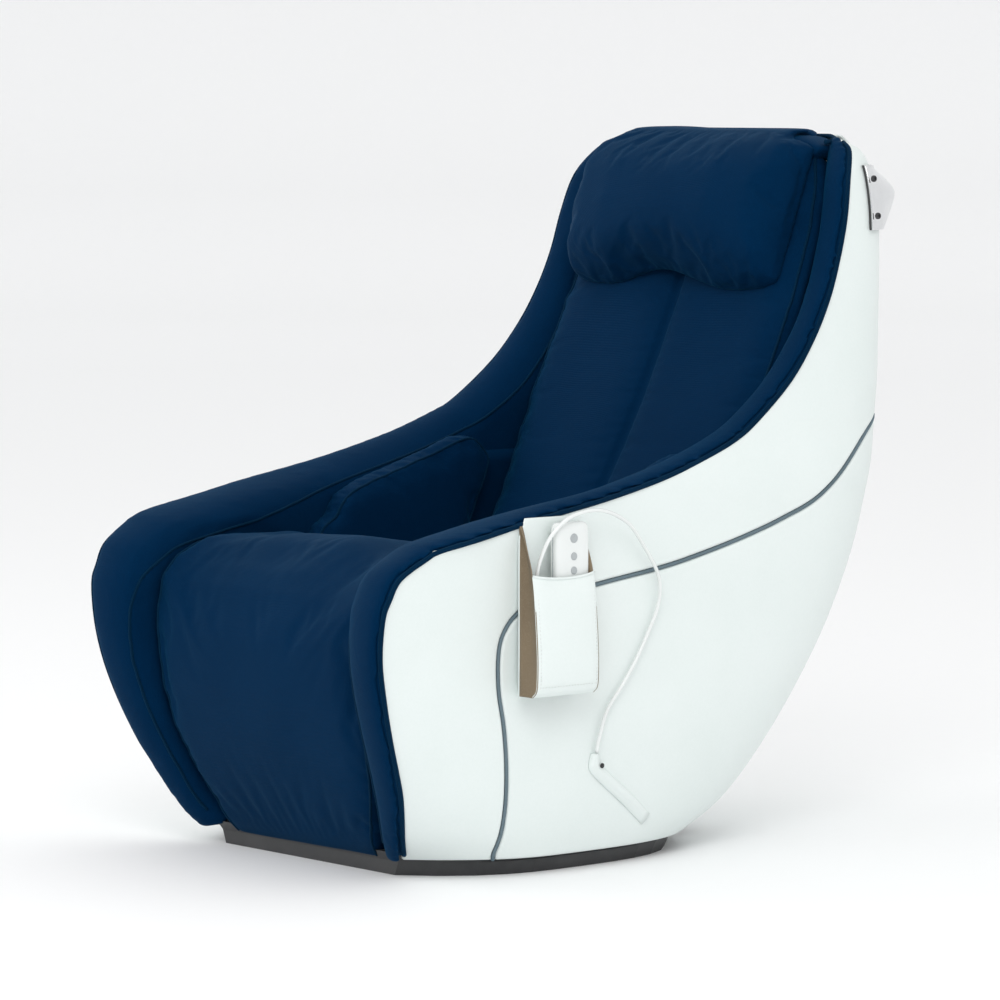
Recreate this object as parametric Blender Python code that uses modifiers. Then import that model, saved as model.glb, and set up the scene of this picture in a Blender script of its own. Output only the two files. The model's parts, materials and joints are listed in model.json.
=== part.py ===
"""Compact massage chair: a leatherette-covered tub on a black base, with a padded rim, a
back pad over a travelling roller carriage, seat airbags, a wired remote and its pouch.

Metres, +Z up.  The sitter faces -Y and +X is the sitter's left.  The origin is on the flat
underside of the base, between the two sides.
"""
import math

import bmesh
import bpy
from mathutils import Matrix, Vector

# ---------------------------------------------------------------- driving dimensions
GAP = 0.0003                    # clearance kept between touching pieces
SKIN = 0.006                    # thickness of the outer shell panels
SIDES = (("left", 1), ("right", -1))

# Outer body by height: height, half width, front edge y, half width at the front edge, back y
BODY_STATIONS = (
    (0.020, 0.292, -0.352, 0.196, 0.140),
    (0.060, 0.303, -0.386, 0.238, 0.212),
    (0.120, 0.312, -0.416, 0.270, 0.270),
    (0.200, 0.320, -0.450, 0.290, 0.327),
    (0.300, 0.326, -0.476, 0.303, 0.382),
    (0.400, 0.330, -0.450, 0.315, 0.417),
    (0.440, 0.330, -0.345, 0.3285, 0.426),
    (0.480, 0.330, -0.300, 0.330, 0.434),
    (0.560, 0.315, -0.050, 0.315, 0.451),
    (0.640, 0.305, 0.050, 0.305, 0.459),
    (0.740, 0.297, 0.100, 0.297, 0.459),
    (0.830, 0.291, 0.130, 0.291, 0.456),
    (0.883, 0.282, 0.150, 0.282, 0.447),
    (0.920, 0.263, 0.160, 0.263, 0.440),
    (0.940, 0.217, 0.170, 0.217, 0.428),
)
FRONT_STEPS = 5                 # spans of the plan outline ahead of its widest place
CORNER_STEPS = 13               # spans from the widest place to the middle of the back

# Rim between shell and padding: half width, y, z, width of the padded roll, drop of its inner edge
RIM = (
    (0.212, -0.363, 0.031, 0.049, 0.008),
    (0.233, -0.382, 0.054, 0.052, 0.009),
    (0.253, -0.399, 0.084, 0.058, 0.011),
    (0.267, -0.412, 0.113, 0.065, 0.014),
    (0.277, -0.425, 0.140, 0.067, 0.017),
    (0.289, -0.447, 0.193, 0.070, 0.022),
    (0.298, -0.464, 0.246, 0.075, 0.030),
    (0.303, -0.474, 0.297, 0.079, 0.034),
    (0.309, -0.474, 0.348, 0.086, 0.036),
    (0.311, -0.465, 0.372, 0.089, 0.037),
    (0.314, -0.451, 0.397, 0.092, 0.038),
    (0.320, -0.416, 0.419, 0.098, 0.037),
    (0.323, -0.394, 0.429, 0.101, 0.035),
    (0.330, -0.337, 0.441, 0.106, 0.034),
    (0.328, -0.241, 0.460, 0.096, 0.034),
    (0.330, -0.129, 0.480, 0.080, 0.024),
    (0.327, -0.030, 0.501, 0.077, 0.018),
    (0.320, 0.050, 0.523, 0.070, 0.018),
    (0.316, 0.112, 0.546, 0.068, 0.020),
    (0.311, 0.156, 0.570, 0.067, 0.026),
    (0.306, 0.220, 0.620, 0.064, 0.034),
    (0.301, 0.265, 0.672, 0.060, 0.036),
    (0.297, 0.297, 0.724, 0.058, 0.036),
    (0.293, 0.319, 0.776, 0.056, 0.034),
    (0.290, 0.335, 0.830, 0.054, 0.032),
    (0.279, 0.351, 0.883, 0.054, 0.028),
    (0.256, 0.375, 0.920, 0.050, 0.022),
    (0.233, 0.387, 0.931, 0.040, 0.018),
)
SEAM = (                        # side seam in the YZ plane, rear to front and down to the base
    (0.600, 0.640), (0.480, 0.590), (0.400, 0.557), (0.355, 0.533), (0.263, 0.468), (0.190, 0.440),
    (0.118, 0.419), (0.047, 0.402), (-0.023, 0.388), (-0.131, 0.373), (-0.220, 0.358),
    (-0.262, 0.345), (-0.284, 0.325), (-0.294, 0.297), (-0.292, 0.247), (-0.280, 0.195),
    (-0.270, 0.131), (-0.266, 0.066), (-0.269, -0.010),
)
SEAM_HALF = 0.0025              # half the groove between the two side panels
BACK_SPLIT = 0.200              # half width of the separate rear cover

ARC_Y, ARC_Z = -1.635, 1.557    # centre of the back's long arc, far in front of the sitter
PAD_RADIUS = 2.100              # front face of the back pad
PAD_THICK = 0.028
RAIL_RADIUS = 2.172             # guide rails behind the pad
RAIL_X = 0.155
CARRIAGE_Z = 0.600              # height of the carriage at rest

REMOTE_Y = -0.2010


# ---------------------------------------------------------------- general helpers
def clear_scene():
    for thing in list(bpy.data.objects):
        bpy.data.objects.remove(thing, do_unlink=True)


def make_collection(name):
    collection = bpy.data.collections.new(name)
    bpy.context.scene.collection.children.link(collection)
    return collection


def material(name, color, roughness, metallic=0.0):
    made = bpy.data.materials.get(name)
    if made is None:
        made = bpy.data.materials.new(name)
        made.use_nodes = True
        shader = made.node_tree.nodes["Principled BSDF"]
        shader.inputs["Base Color"].default_value = (*color, 1.0)
        shader.inputs["Roughness"].default_value = roughness
        shader.inputs["Metallic"].default_value = metallic
    return made


WHITE = ("white_leatherette", (0.86, 0.88, 0.86), 0.5)
NAVY = ("navy_fabric", (0.008, 0.045, 0.115), 0.75)
PIPING = ("grey_piping", (0.12, 0.14, 0.18), 0.6)
GREY = ("grey_plastic", (0.45, 0.48, 0.49), 0.5)
BLACK = ("black_plastic", (0.012, 0.012, 0.014), 0.5)
STEEL = ("painted_steel", (0.045, 0.047, 0.05), 0.45, 0.6)
BARE = ("bare_steel", (0.55, 0.55, 0.56), 0.32, 1.0)
CHROME = ("chrome", (0.75, 0.75, 0.77), 0.12, 1.0)
RUBBER = ("rubber", (0.02, 0.02, 0.02), 0.85)
NYLON = ("nylon", (0.75, 0.74, 0.68), 0.5)
GLOSS = ("white_gloss_plastic", (0.85, 0.87, 0.86), 0.25)


def place(mesh, name, finish, loose=False):
    """Put a mesh into the chair or, if loose, among the shapes that only cut others."""
    thing = bpy.data.objects.new(name, mesh)
    mesh.materials.clear()
    mesh.materials.append(material(*finish))
    if loose:
        CUTTERS.objects.link(thing)
        thing.hide_render = True
        thing.display_type = "WIRE"
    else:
        CHAIR.objects.link(thing)
    return thing


def from_bmesh(shape, name, finish, loose=False, smooth=True):
    bmesh.ops.recalc_face_normals(shape, faces=shape.faces)
    mesh = bpy.data.meshes.new(name)
    shape.to_mesh(mesh)
    shape.free()
    if smooth:
        mesh.shade_smooth()
        mesh.set_sharp_from_angle(angle=math.radians(35))
    return place(mesh, name, finish, loose)


def box(name, size, centre, finish, tilt=0.0, bevel=0.0, loose=False):
    """A box of the given size, tilted about X through its own centre."""
    shape = bmesh.new()
    turn = Matrix.Rotation(tilt, 4, "X")
    bmesh.ops.create_cube(shape, size=1.0, matrix=turn @ Matrix.Diagonal((*size, 1.0)))
    thing = from_bmesh(shape, name, finish, loose, smooth=False)
    thing.location = centre
    if bevel:
        edge = thing.modifiers.new("edges", "BEVEL")
        edge.width = bevel
        edge.segments = 2
        edge.harden_normals = False
    return thing


def rod(name, radius, start, end, finish, sides=20, loose=False, radius_end=None):
    """A round bar between two points, its origin at the start."""
    start, end = Vector(start), Vector(end)
    along = end - start
    turn = along.to_track_quat("Z", "Y").to_matrix().to_4x4()
    middle = turn @ Matrix.Translation((0, 0, along.length / 2))
    shape = bmesh.new()
    bmesh.ops.create_cone(shape, cap_ends=True, segments=sides, radius1=radius,
                          radius2=radius if radius_end is None else radius_end,
                          depth=along.length, matrix=middle)
    thing = from_bmesh(shape, name, finish, loose)
    thing.location = start
    return thing


def tube(name, radius, points, finish, sides=2):
    """A bent round tube through the points, as a poly curve with capped ends."""
    curve = bpy.data.curves.new(name, "CURVE")
    curve.dimensions = "3D"
    curve.bevel_depth = radius
    curve.bevel_resolution = sides
    curve.use_fill_caps = True
    curve.render_resolution_u = 0
    spline = curve.splines.new("POLY")
    spline.points.add(len(points) - 1)
    for knot, spot in zip(spline.points, points):
        knot.co = (*spot, 1.0)
    curve.materials.append(material(*finish))
    thing = bpy.data.objects.new(name, curve)
    CHAIR.objects.link(thing)
    return thing


def prism(name, outline, x_low, x_high, finish, loose=False):
    """An outline in the YZ plane, extruded along X."""
    shape = bmesh.new()
    low = [shape.verts.new((x_low, y, z)) for y, z in outline]
    high = [shape.verts.new((x_high, y, z)) for y, z in outline]
    shape.faces.new(low)
    shape.faces.new(high)
    for i in range(len(outline)):
        j = (i + 1) % len(outline)
        shape.faces.new((low[i], low[j], high[j], high[i]))
    return from_bmesh(shape, name, finish, loose)


def loft(name, rings, finish, loose=False):
    """A closed solid through rings of equal length, capped at both ends."""
    shape = bmesh.new()
    rows = [[shape.verts.new(spot) for spot in ring] for ring in rings]
    for low, high in zip(rows, rows[1:]):
        for i in range(len(low)):
            j = (i + 1) % len(low)
            shape.faces.new((low[i], low[j], high[j], high[i]))
    shape.faces.new(rows[0])
    shape.faces.new(rows[-1])
    bmesh.ops.triangulate(shape, faces=[f for f in shape.faces if len(f.verts) > 4])
    return from_bmesh(shape, name, finish, loose)


def boolean(target, cutter, operation):
    """Cut or join a mesh with another and keep the result as its own mesh."""
    step = target.modifiers.new(cutter.name, "BOOLEAN")
    step.operation = operation
    step.solver = "EXACT"
    step.object = cutter
    bpy.context.view_layer.update()
    graph = bpy.context.evaluated_depsgraph_get()
    result = bpy.data.meshes.new_from_object(target.evaluated_get(graph))
    target.modifiers.clear()
    target.data = result
    return target


def join(target, *pieces):
    for piece in pieces:
        boolean(target, piece, "UNION")
        bpy.data.objects.remove(piece, do_unlink=True)
    return target


def cut(target, *cutters):
    for cutter in cutters:
        boolean(target, cutter, "DIFFERENCE")
    return target


def duplicate(source, name, mirror=False):
    """A copy with its own mesh, mirrored through the YZ plane if asked."""
    copy = bpy.data.objects.new(name, source.data.copy())
    CHAIR.objects.link(copy)
    copy.matrix_world = source.matrix_world.copy()
    if mirror:
        copy.location.x = -source.location.x
        copy.data.transform(Matrix.Scale(-1, 4, (1, 0, 0)))
        copy.data.flip_normals()
    return copy


def smooth_line(points, spans):
    """Points along a Catmull-Rom curve through the given ones, with equal spans for each pair."""
    points = [Vector(p) for p in points]
    ends = [points[0] * 2 - points[1], *points, points[-1] * 2 - points[-2]]
    line = []
    for i in range(1, len(ends) - 2):
        before, start, end, after = ends[i - 1:i + 3]
        for k in range(spans):
            t = k / spans
            line.append(0.5 * (2 * start + (end - before) * t
                               + (2 * before - 5 * start + 4 * end - after) * t ** 2
                               + (3 * start - before - 3 * end + after) * t ** 3))
    line.append(points[-1])
    return line


def evenly(points, spacing):
    """The same line with its points a set distance apart."""
    lengths = [0.0]
    for a, b in zip(points, points[1:]):
        lengths.append(lengths[-1] + (b - a).length)
    count = max(2, round(lengths[-1] / spacing))
    spots, k = [], 0
    for i in range(count + 1):
        reach = lengths[-1] * i / count
        while k < len(points) - 2 and lengths[k + 1] < reach:
            k += 1
        part = (reach - lengths[k]) / (lengths[k + 1] - lengths[k])
        spots.append(points[k].lerp(points[k + 1], part))
    return spots


def offset_line(points, distance):
    """A YZ line moved sideways, to the left of its own direction."""
    moved = []
    for i, spot in enumerate(points):
        ahead = points[min(i + 1, len(points) - 1)]
        behind = points[max(i - 1, 0)]
        along = (ahead - behind).normalized()
        moved.append(spot + Vector((-along.y, along.x)) * distance)
    return moved


def on_arc(radius, height):
    """The y of a point at this height on an arc of the back."""
    return ARC_Y + math.sqrt(radius ** 2 - (height - ARC_Z) ** 2)


def arc_point(radius, angle):
    """A YZ point on an arc of the back; the angle is measured down from level, rearward."""
    return ARC_Y + radius * math.cos(angle), ARC_Z - radius * math.sin(angle)


def arc_angle(radius, height):
    return math.asin((ARC_Z - height) / radius)


# ---------------------------------------------------------------- the tub's outer form
def body_at(height):
    """Half width, front y, front half width and back y at a height."""
    for low, high in zip(BODY_STATIONS, BODY_STATIONS[1:]):
        if height <= high[0]:
            t = (height - low[0]) / (high[0] - low[0])
            return [a + (b - a) * t for a, b in zip(low[1:], high[1:])]
    return BODY_STATIONS[-1][1:]


def widest_y(height):
    return -0.17 + 0.42 * height


def squareness(height):
    return 3.3 + 3.6 * height


def plan_line(height, inset=0.0):
    """Half of the plan outline at a height, from the front edge round to the middle of the back."""
    half, front, front_half, back = body_at(height)
    middle, power = widest_y(height), squareness(height)
    line = []
    for i in range(FRONT_STEPS):
        t = i / FRONT_STEPS
        x = half - (half - front_half) * (1 - t) ** 2.5 - inset
        line.append((x, front + (middle - front) * t, height))
    a, b = half - inset, back - inset - middle
    for i in range(CORNER_STEPS + 1):
        turn = math.pi / 2 * i / CORNER_STEPS
        reach = (abs(math.cos(turn) / a) ** power + abs(math.sin(turn) / b) ** power) ** (-1 / power)
        line.append((reach * math.cos(turn), middle + reach * math.sin(turn), height))
    return line


def shell_x(y, height, inset=0.0):
    """Half width of the body at a place on its side."""
    half, front, front_half, back = body_at(height)
    middle, power = widest_y(height), squareness(height)
    if y < middle:
        t = (y - front) / (middle - front)
        return half - (half - front_half) * max(0.0, 1 - t) ** 2.5 - inset
    return (half - inset) * (1 - ((y - middle) / (back - inset - middle)) ** power) ** (1 / power)


def tub_wall(name):
    """The whole thin wall of the tub, open at the front, the top and the bottom."""
    shape = bmesh.new()
    skins = []
    for inset in (0.0, SKIN):
        grid = []
        for height, *_ in BODY_STATIONS:
            half = plan_line(height, inset)
            line = half + [(-x, y, z) for x, y, z in reversed(half[:-1])]
            grid.append([shape.verts.new(spot) for spot in line])
        skins.append(grid)
    outer, inner = skins
    rows, columns = len(outer), len(outer[0])
    for r in range(rows - 1):
        for c in range(columns - 1):
            for grid in skins:
                shape.faces.new((grid[r][c], grid[r][c + 1], grid[r + 1][c + 1], grid[r + 1][c]))
        for c in (0, columns - 1):
            shape.faces.new((outer[r][c], outer[r + 1][c], inner[r + 1][c], inner[r][c]))
    for c in range(columns - 1):
        for r in (0, rows - 1):
            shape.faces.new((outer[r][c], outer[r][c + 1], inner[r][c + 1], inner[r][c]))
    bmesh.ops.triangulate(shape, faces=shape.faces)
    return from_bmesh(shape, name, WHITE)


def rim_outline():
    """The shell's upper and front edge in the YZ plane, from the back of the top to the floor."""
    edge = [Vector((y, z)) for _, y, z, _, _ in reversed(RIM)]
    return [Vector((0.60, 0.990)), Vector((0.405, 0.990)), Vector((0.401, 0.940)), *edge,
            Vector((-0.345, -0.010))]


def region(name, outline):
    return prism(name, outline, -0.5, 0.5, BLACK, loose=True)


# ---------------------------------------------------------------- outer shell
def wheel_wells():
    """Cutters that clear the two transport wheels at the lower rear."""
    return [box("well_" + side, (0.0500, 0.100, 0.085), (sign * WHEEL_X, WHEEL_Y + 0.008, WHEEL_Z),
                BLACK, loose=True) for side, sign in SIDES]


def shell_panels():
    """Both side panels of each side, parted by the seam groove, and the rear cover."""
    seam = smooth_line(SEAM, 2)
    front_region = region("front_region", rim_outline() + list(reversed(offset_line(seam, -SEAM_HALF))))
    rear_region = region("rear_region", offset_line(seam, SEAM_HALF) + [Vector((0.6, -0.01))])
    beside = box("beside_cover", (0.6, 1.4, 1.4), (0.3 + BACK_SPLIT + 0.001, 0.0, 0.5), BLACK, loose=True)
    behind = box("behind_cover", (2 * BACK_SPLIT - 0.002, 0.5, 1.4), (0.0, 0.35, 0.5), BLACK, loose=True)
    wells = wheel_wells()
    whole = tub_wall("whole_wall")
    for name, area in (("side_panel_front", front_region), ("side_panel_rear", rear_region)):
        panel = duplicate(whole, name + "_left")
        boolean(panel, area, "INTERSECT")
        boolean(panel, beside, "INTERSECT")
        if area is rear_region:
            cut(panel, *wells)
        duplicate(panel, name + "_right", mirror=True)
    cover = duplicate(whole, "rear_cover")
    boolean(cover, behind, "INTERSECT")
    cut(cover, *vent_slots(), inlet_opening(), *wells)
    bpy.data.objects.remove(whole, do_unlink=True)
    return cover


def vent_slots():
    """Six cooling slots in a column low on the rear cover."""
    return [box(f"vent_{i}", (0.120, 0.200, 0.006), (0.0, 0.45, 0.380 + 0.014 * i), BLACK, loose=True)
            for i in range(6)]


INLET_X, INLET_Z = -0.110, 0.270            # middle of the power inlet, low on the rear cover
INLET_FACE = 0.3860                         # y of its upright outer face
INLET_SIZE = (0.0720, 0.0500, 0.0360)


def inlet_opening():
    return box("inlet_opening", (INLET_SIZE[0] + 0.0007, 0.200, INLET_SIZE[2] + 0.0007),
               (INLET_X, 0.400, INLET_Z), BLACK, loose=True)


def seam_piping():
    """A thin welt lying in the groove between the side panels."""
    for side, sign in SIDES:
        seam = smooth_line(SEAM, 2)
        line = []
        for start, end in zip(seam, seam[1:]):
            parts = math.ceil((end - start).length / 0.030)
            for y, z in [start.lerp(end, k / parts) for k in range(parts)]:
                if z > 0.024 and y < plan_back(BACK_SPLIT + 0.010, z):
                    line.append((sign * (shell_x(y, z) - 0.0035), y, z))
        tube("seam_piping_" + side, 0.0018, line, PIPING, sides=1)


def plan_back(x, height):
    """The y of the rear of the body at this x."""
    half, _, _, back = body_at(height)
    middle, power = widest_y(height), squareness(height)
    return middle + (back - middle) * (1 - (x / half) ** power) ** (1 / power)


# ---------------------------------------------------------------- base
WHEEL_X, WHEEL_Y, WHEEL_Z = 0.125, 0.150, 0.041
WHEEL_RADIUS = 0.034


def base_plate():
    """Black moulded base, set in from the shell, with a flat underside."""
    rings = []
    for height, inset in ((0.0, 0.016), (0.0180, 0.0090), (0.0305, 0.0180)):
        half = plan_line(max(height, 0.020), inset)
        half = [(x, y, height) for x, y, _ in half]
        other = [(-x, y, z) for x, y, z in reversed(half[:-1])]
        rings.append(half + other)
    plate = loft("base_plate", rings, BLACK)
    for side, sign in SIDES:
        cut(plate, box("wheel_gap_" + side, (0.034, 0.12, 0.2),
                       (sign * WHEEL_X, WHEEL_Y + 0.010, 0.0), BLACK, loose=True))
        for arm in (-1, 1):
            x = sign * WHEEL_X + arm * 0.0210
            join(plate, box("axle_arm", (0.006, 0.060, 0.050), (x, WHEEL_Y - 0.020, 0.034), BLACK))
    cut(plate, rod("axle_hole", 0.0045, (-0.3, WHEEL_Y, WHEEL_Z), (0.3, WHEEL_Y, WHEEL_Z), BLACK,
                   sides=16, loose=True))
    return plate


def wheels():
    rod("transport_axle", 0.0040, (-0.152, WHEEL_Y, WHEEL_Z), (0.152, WHEEL_Y, WHEEL_Z), BARE, sides=16)
    for side, sign in SIDES:
        wheel = turned("transport_wheel_" + side,
                       ((0.0045, 0.011), (0.012, 0.011), (0.014, 0.007), (0.026, 0.007), (0.029, 0.012),
                        (WHEEL_RADIUS, 0.008)), RUBBER, 24)
        wheel.rotation_euler = (0.0, math.pi / 2, 0.0)
        wheel.location = (sign * WHEEL_X, WHEEL_Y, WHEEL_Z)


def turned(name, half_profile, finish, steps):
    """A wheel-like solid about its Z axis: rising radii with half widths, bored at the first radius."""
    outer = [(r, 0.0, h) for r, h in half_profile] + [(r, 0.0, -h) for r, h in reversed(half_profile)]
    shape = bmesh.new()
    rows = []
    for i in range(steps):
        turn = Matrix.Rotation(2 * math.pi * i / steps, 3, "Z")
        rows.append([shape.verts.new(turn @ Vector(p)) for p in outer])
    for i in range(steps):
        a, b = rows[i], rows[(i + 1) % steps]
        for k in range(len(outer)):
            m = (k + 1) % len(outer)
            shape.faces.new((a[k], a[m], b[m], b[k]))
    return from_bmesh(shape, name, finish)


# ---------------------------------------------------------------- steel frame
def bend(points, radius, steps=4):
    """A polyline with each inner corner rounded by an arc-like curve."""
    points = [Vector(p) for p in points]
    line = [points[0]]
    for before, corner, after in zip(points, points[1:], points[2:]):
        start = corner + (before - corner).normalized() * radius
        end = corner + (after - corner).normalized() * radius
        for k in range(steps + 1):
            t = k / steps
            line.append(start * (1 - t) ** 2 + corner * 2 * t * (1 - t) + end * t ** 2)
    line.append(points[-1])
    return line


FRAME_X = 0.196
FRAME_RADIUS = 0.0115
FRAME_ARC = 2.150               # radius of the frame's back tubes about the back's centre
SEAT_TUBE_Z = 0.255


def frame():
    """Two bent side tubes, a pair of rear legs and the crossbars between them."""
    for side, sign in SIDES:
        back = [(sign * FRAME_X, on_arc(FRAME_ARC, z), z) for z in (0.42, 0.52, 0.62, 0.72, 0.80, 0.875)]
        path = bend([(sign * FRAME_X, -0.300, 0.0310), (sign * FRAME_X, -0.300, SEAT_TUBE_Z),
                     (sign * FRAME_X, 0.080, SEAT_TUBE_Z), back[0]], 0.05)
        tube("frame_side_" + side, FRAME_RADIUS, path + back[1:], STEEL)
        tube("frame_leg_" + side, 0.0100, [(sign * FRAME_X, 0.060, 0.0310),
                                         (sign * FRAME_X, 0.060, SEAT_TUBE_Z - FRAME_RADIUS - GAP)], STEEL)
    reach = FRAME_X - FRAME_RADIUS - GAP
    for name, y, z in (("front", -0.300, 0.200), ("back", 0.150, 0.360)):
        rod("crossbar_" + name, 0.0100, (-reach, y, z), (reach, y, z), STEEL, sides=16)
    top_y = on_arc(FRAME_ARC, 0.865)
    rod("crossbar_top", 0.0085, (-reach, top_y, 0.865), (reach, top_y, 0.865), STEEL, sides=16)


# ---------------------------------------------------------------- upholstery solids
ROLL_SECTION = (                # across the padded rim: inward share, rise above the shell edge
    (0.00, 0.0020), (0.03, 0.0060), (0.14, 0.0095), (0.38, 0.0100), (0.62, 0.0060),
    (0.84, -0.0030), (1.00, None),
)


def rim_normals():
    """Unit vectors in the YZ plane, out of the tub, at each rim station."""
    normals = []
    spots = [Vector((y, z)) for _, y, z, _, _ in RIM]
    for i in range(len(spots)):
        along = (spots[min(i + 1, len(spots) - 1)] - spots[max(i - 1, 0)]).normalized()
        normals.append(Vector((-along.y, along.x)))
    return normals


def arm_rolls():
    """The padded rim of each side, from the floor up the front, along the arm and up the back."""
    for side, sign in SIDES:
        rings = []
        for (x, y, z, width, drop), normal in zip(RIM, rim_normals()):
            ring = [(x - share * width, -drop if rise is None else rise) for share, rise in ROLL_SECTION]
            ring += [(x - width, -drop - 0.022), (x - 0.026, -drop - 0.022), (x - 0.018, 0.0020)]
            rings.append([(sign * across, y + normal.x * out, z + normal.y * out) for across, out in ring])
        loft("arm_roll_" + side, rings, NAVY)


def back_pad():
    """The long back pad over the rollers, an arc slab that turns over the top of the tub."""
    rows = []
    for z, half in ((0.372, 0.200), (0.44, 0.212), (0.52, 0.228), (0.58, 0.236), (0.64, 0.236),
                    (0.72, 0.234), (0.80, 0.230), (0.87, 0.220), (0.915, 0.203)):
        angle = arc_angle(PAD_RADIUS, z)
        rows.append((half, arc_point(PAD_RADIUS, angle), arc_point(PAD_RADIUS + PAD_THICK, angle)))
    rows.append((0.182, (0.380, 0.9380), (0.3905, 0.910)))
    rows.append((0.166, (0.4140, 0.9385), (0.4140, 0.912)))
    rings = []
    for half, front, back in rows:
        ring = [(-half, back), (-half, front), (-half * 0.5, front), (0.0, front), (half * 0.5, front),
                (half, front), (half, back), (half * 0.5, back), (0.0, back), (-half * 0.5, back)]
        rings.append([(x, y, z) for x, (y, z) in ring])
    loft("back_pad", rings, NAVY)


PILLOW_HINGE = (0.392, 0.952)   # y, z of the flap line that the pillow turns about


def pillow():
    """A fat head pillow lying on the back pad, hung from a flap over the top."""
    angle = arc_angle(PAD_RADIUS, 0.832)
    across = ((-0.205, 0.32), (-0.185, 0.80), (-0.10, 1.0), (0.0, 1.0), (0.10, 1.0), (0.185, 0.80),
              (0.205, 0.32))
    profile = ((-0.108, 0.012), (-0.100, 0.046), (-0.070, 0.070), (-0.010, 0.078), (0.050, 0.072),
               (0.088, 0.052), (0.106, 0.022), (0.106, 0.0), (0.050, 0.0), (-0.010, 0.0), (-0.070, 0.0),
               (-0.104, 0.0))
    y0, z0 = arc_point(PAD_RADIUS - 0.0068, angle)
    rings = []
    for x, fullness in across:
        ring = []
        for along, depth in profile:
            shrink = 0.86 + 0.14 * fullness
            up, out = along * shrink, depth * fullness
            y = y0 - out * math.cos(angle) + up * math.sin(angle)
            z = z0 + out * math.sin(angle) + up * math.cos(angle)
            ring.append((x, y, z))
        rings.append(ring)
    made = loft("pillow", rings, NAVY)
    made.data.transform(Matrix.Translation((0, -PILLOW_HINGE[0], -PILLOW_HINGE[1])))
    made.location = (0, *PILLOW_HINGE)


def seat():
    """Seat cushion, front calf pad and the two padded side walls of the seat."""
    cushion = ((-0.188, 0.395), (-0.100, 0.384), (0.000, 0.369), (0.085, 0.360), (0.094, 0.345),
               (0.094, 0.300), (0.080, 0.285), (-0.175, 0.285), (-0.188, 0.300))
    prism("seat_cushion", [Vector(p) for p in cushion], -0.2115, 0.2115, NAVY)
    front = ((0.150, -0.356, 0.0312), (0.160, -0.373, 0.052), (0.190, -0.398, 0.110), (0.206, -0.4175, 0.165),
             (0.2150, -0.434, 0.230), (0.2185, -0.4395, 0.300), (0.2185, -0.4300, 0.362),
             (0.2185, -0.4060, 0.388), (0.2180, -0.3630, 0.406), (0.2160, -0.3130, 0.412),
             (0.2140, -0.2400, 0.405), (0.2140, -0.1895, 0.396))
    inner = ((-0.330, 0.0312), (-0.336, 0.060), (-0.355, 0.115), (-0.372, 0.165), (-0.382, 0.230),
             (-0.382, 0.290), (-0.372, 0.318), (-0.352, 0.335), (-0.320, 0.345), (-0.290, 0.345),
             (-0.240, 0.340), (-0.1895, 0.330))
    rings = []
    for (half, y, z), (y_in, z_in) in zip(front, inner):
        rings.append([(-half, y, z), (-half * 0.5, y, z), (0.0, y, z), (half * 0.5, y, z), (half, y, z),
                      (half, y_in, z_in), (0.0, y_in, z_in), (-half, y_in, z_in)])
    loft("calf_pad", rings, NAVY)
    wall = ((-0.175, 0.335), (-0.170, 0.395), (-0.160, 0.413), (-0.138, 0.425), (-0.120, 0.451),
            (-0.084, 0.470),
            (0.004, 0.496), (0.080, 0.520), (0.106, 0.522), (0.140, 0.490), (0.085, 0.365), (0.085, 0.335))
    for side, sign in SIDES:
        prism("seat_wall_pad_" + side, [Vector(p) for p in wall], sign * 0.2125, sign * 0.2475, NAVY)
        box("airbag_" + side, (0.030, 0.200, 0.100), (sign * 0.2660, -0.040, 0.362), RUBBER, bevel=0.010)


# ---------------------------------------------------------------- rear handle
HANDLE_Z = 0.860


BAR_Y, BAR_REACH = 0.4700, 0.2260
BRACKET_FRONT = 0.3880          # y of the brackets' front edge, on the side of the shell
BRACKET_RINGS = (               # height, y and x of the outer rear corner
    (0.815, 0.4250, 0.2720), (0.835, 0.4600, 0.2470), (0.860, 0.4800, 0.2370),
    (0.872, 0.4770, 0.2350), (0.884, 0.4620, 0.2350), (0.895, 0.4320, 0.2490), (0.902, 0.4180, 0.2590),
)
BRACKET_PAD = 0.0040            # room for the soft pad between the plate and the shell
BRACKET_PROUD = 0.0065          # how far the plate's face stands off the shell
SCREWS = (("upper", 0.884), ("lower", 0.834))


def bracket_ring(height, rear_y, rear_x):
    """Plan outline of a bracket at a height: its outer face, its rear edge and the side on the shell."""
    ring = [(shell_x(BRACKET_FRONT, height) + BRACKET_PROUD, BRACKET_FRONT, height), (rear_x, rear_y, height)]
    last = min(rear_y - 0.004, 0.436)
    inner_x = rear_x - 0.014 if rear_y > 0.450 else shell_x(last, height) + BRACKET_PAD
    ring.append((inner_x, rear_y - 0.001, height))
    for k in range(3, -1, -1):
        y = BRACKET_FRONT + (last - BRACKET_FRONT) * k / 3
        ring.append((shell_x(y, height) + BRACKET_PAD, y, height))
    return ring


def rear_handle():
    """A carrying bar across the rear, between two chrome brackets that wrap the shell's rear corners."""
    rod("rear_handle_bar", 0.0085, (-BAR_REACH, BAR_Y, HANDLE_Z), (BAR_REACH, BAR_Y, HANDLE_Z), BLACK, 24)
    for side, sign in SIDES:
        rings = [[(sign * x, y, z) for x, y, z in bracket_ring(*row)] for row in BRACKET_RINGS]
        bracket = loft("handle_bracket_" + side, rings, CHROME)
        cut(bracket, rod("bar_socket", 0.0088, (sign * 0.1, BAR_Y, HANDLE_Z),
                         (sign * (BAR_REACH + GAP), BAR_Y, HANDLE_Z), CHROME, sides=24, loose=True))
        for level, z in SCREWS:
            y = BRACKET_FRONT + 0.010
            x = shell_x(BRACKET_FRONT, z) + BRACKET_PROUD
            rod(f"handle_screw_{level}_{side}", 0.0042, (sign * (x - 0.0012), y, z),
                (sign * (x + 0.0020), y, z), BARE, sides=16)


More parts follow.
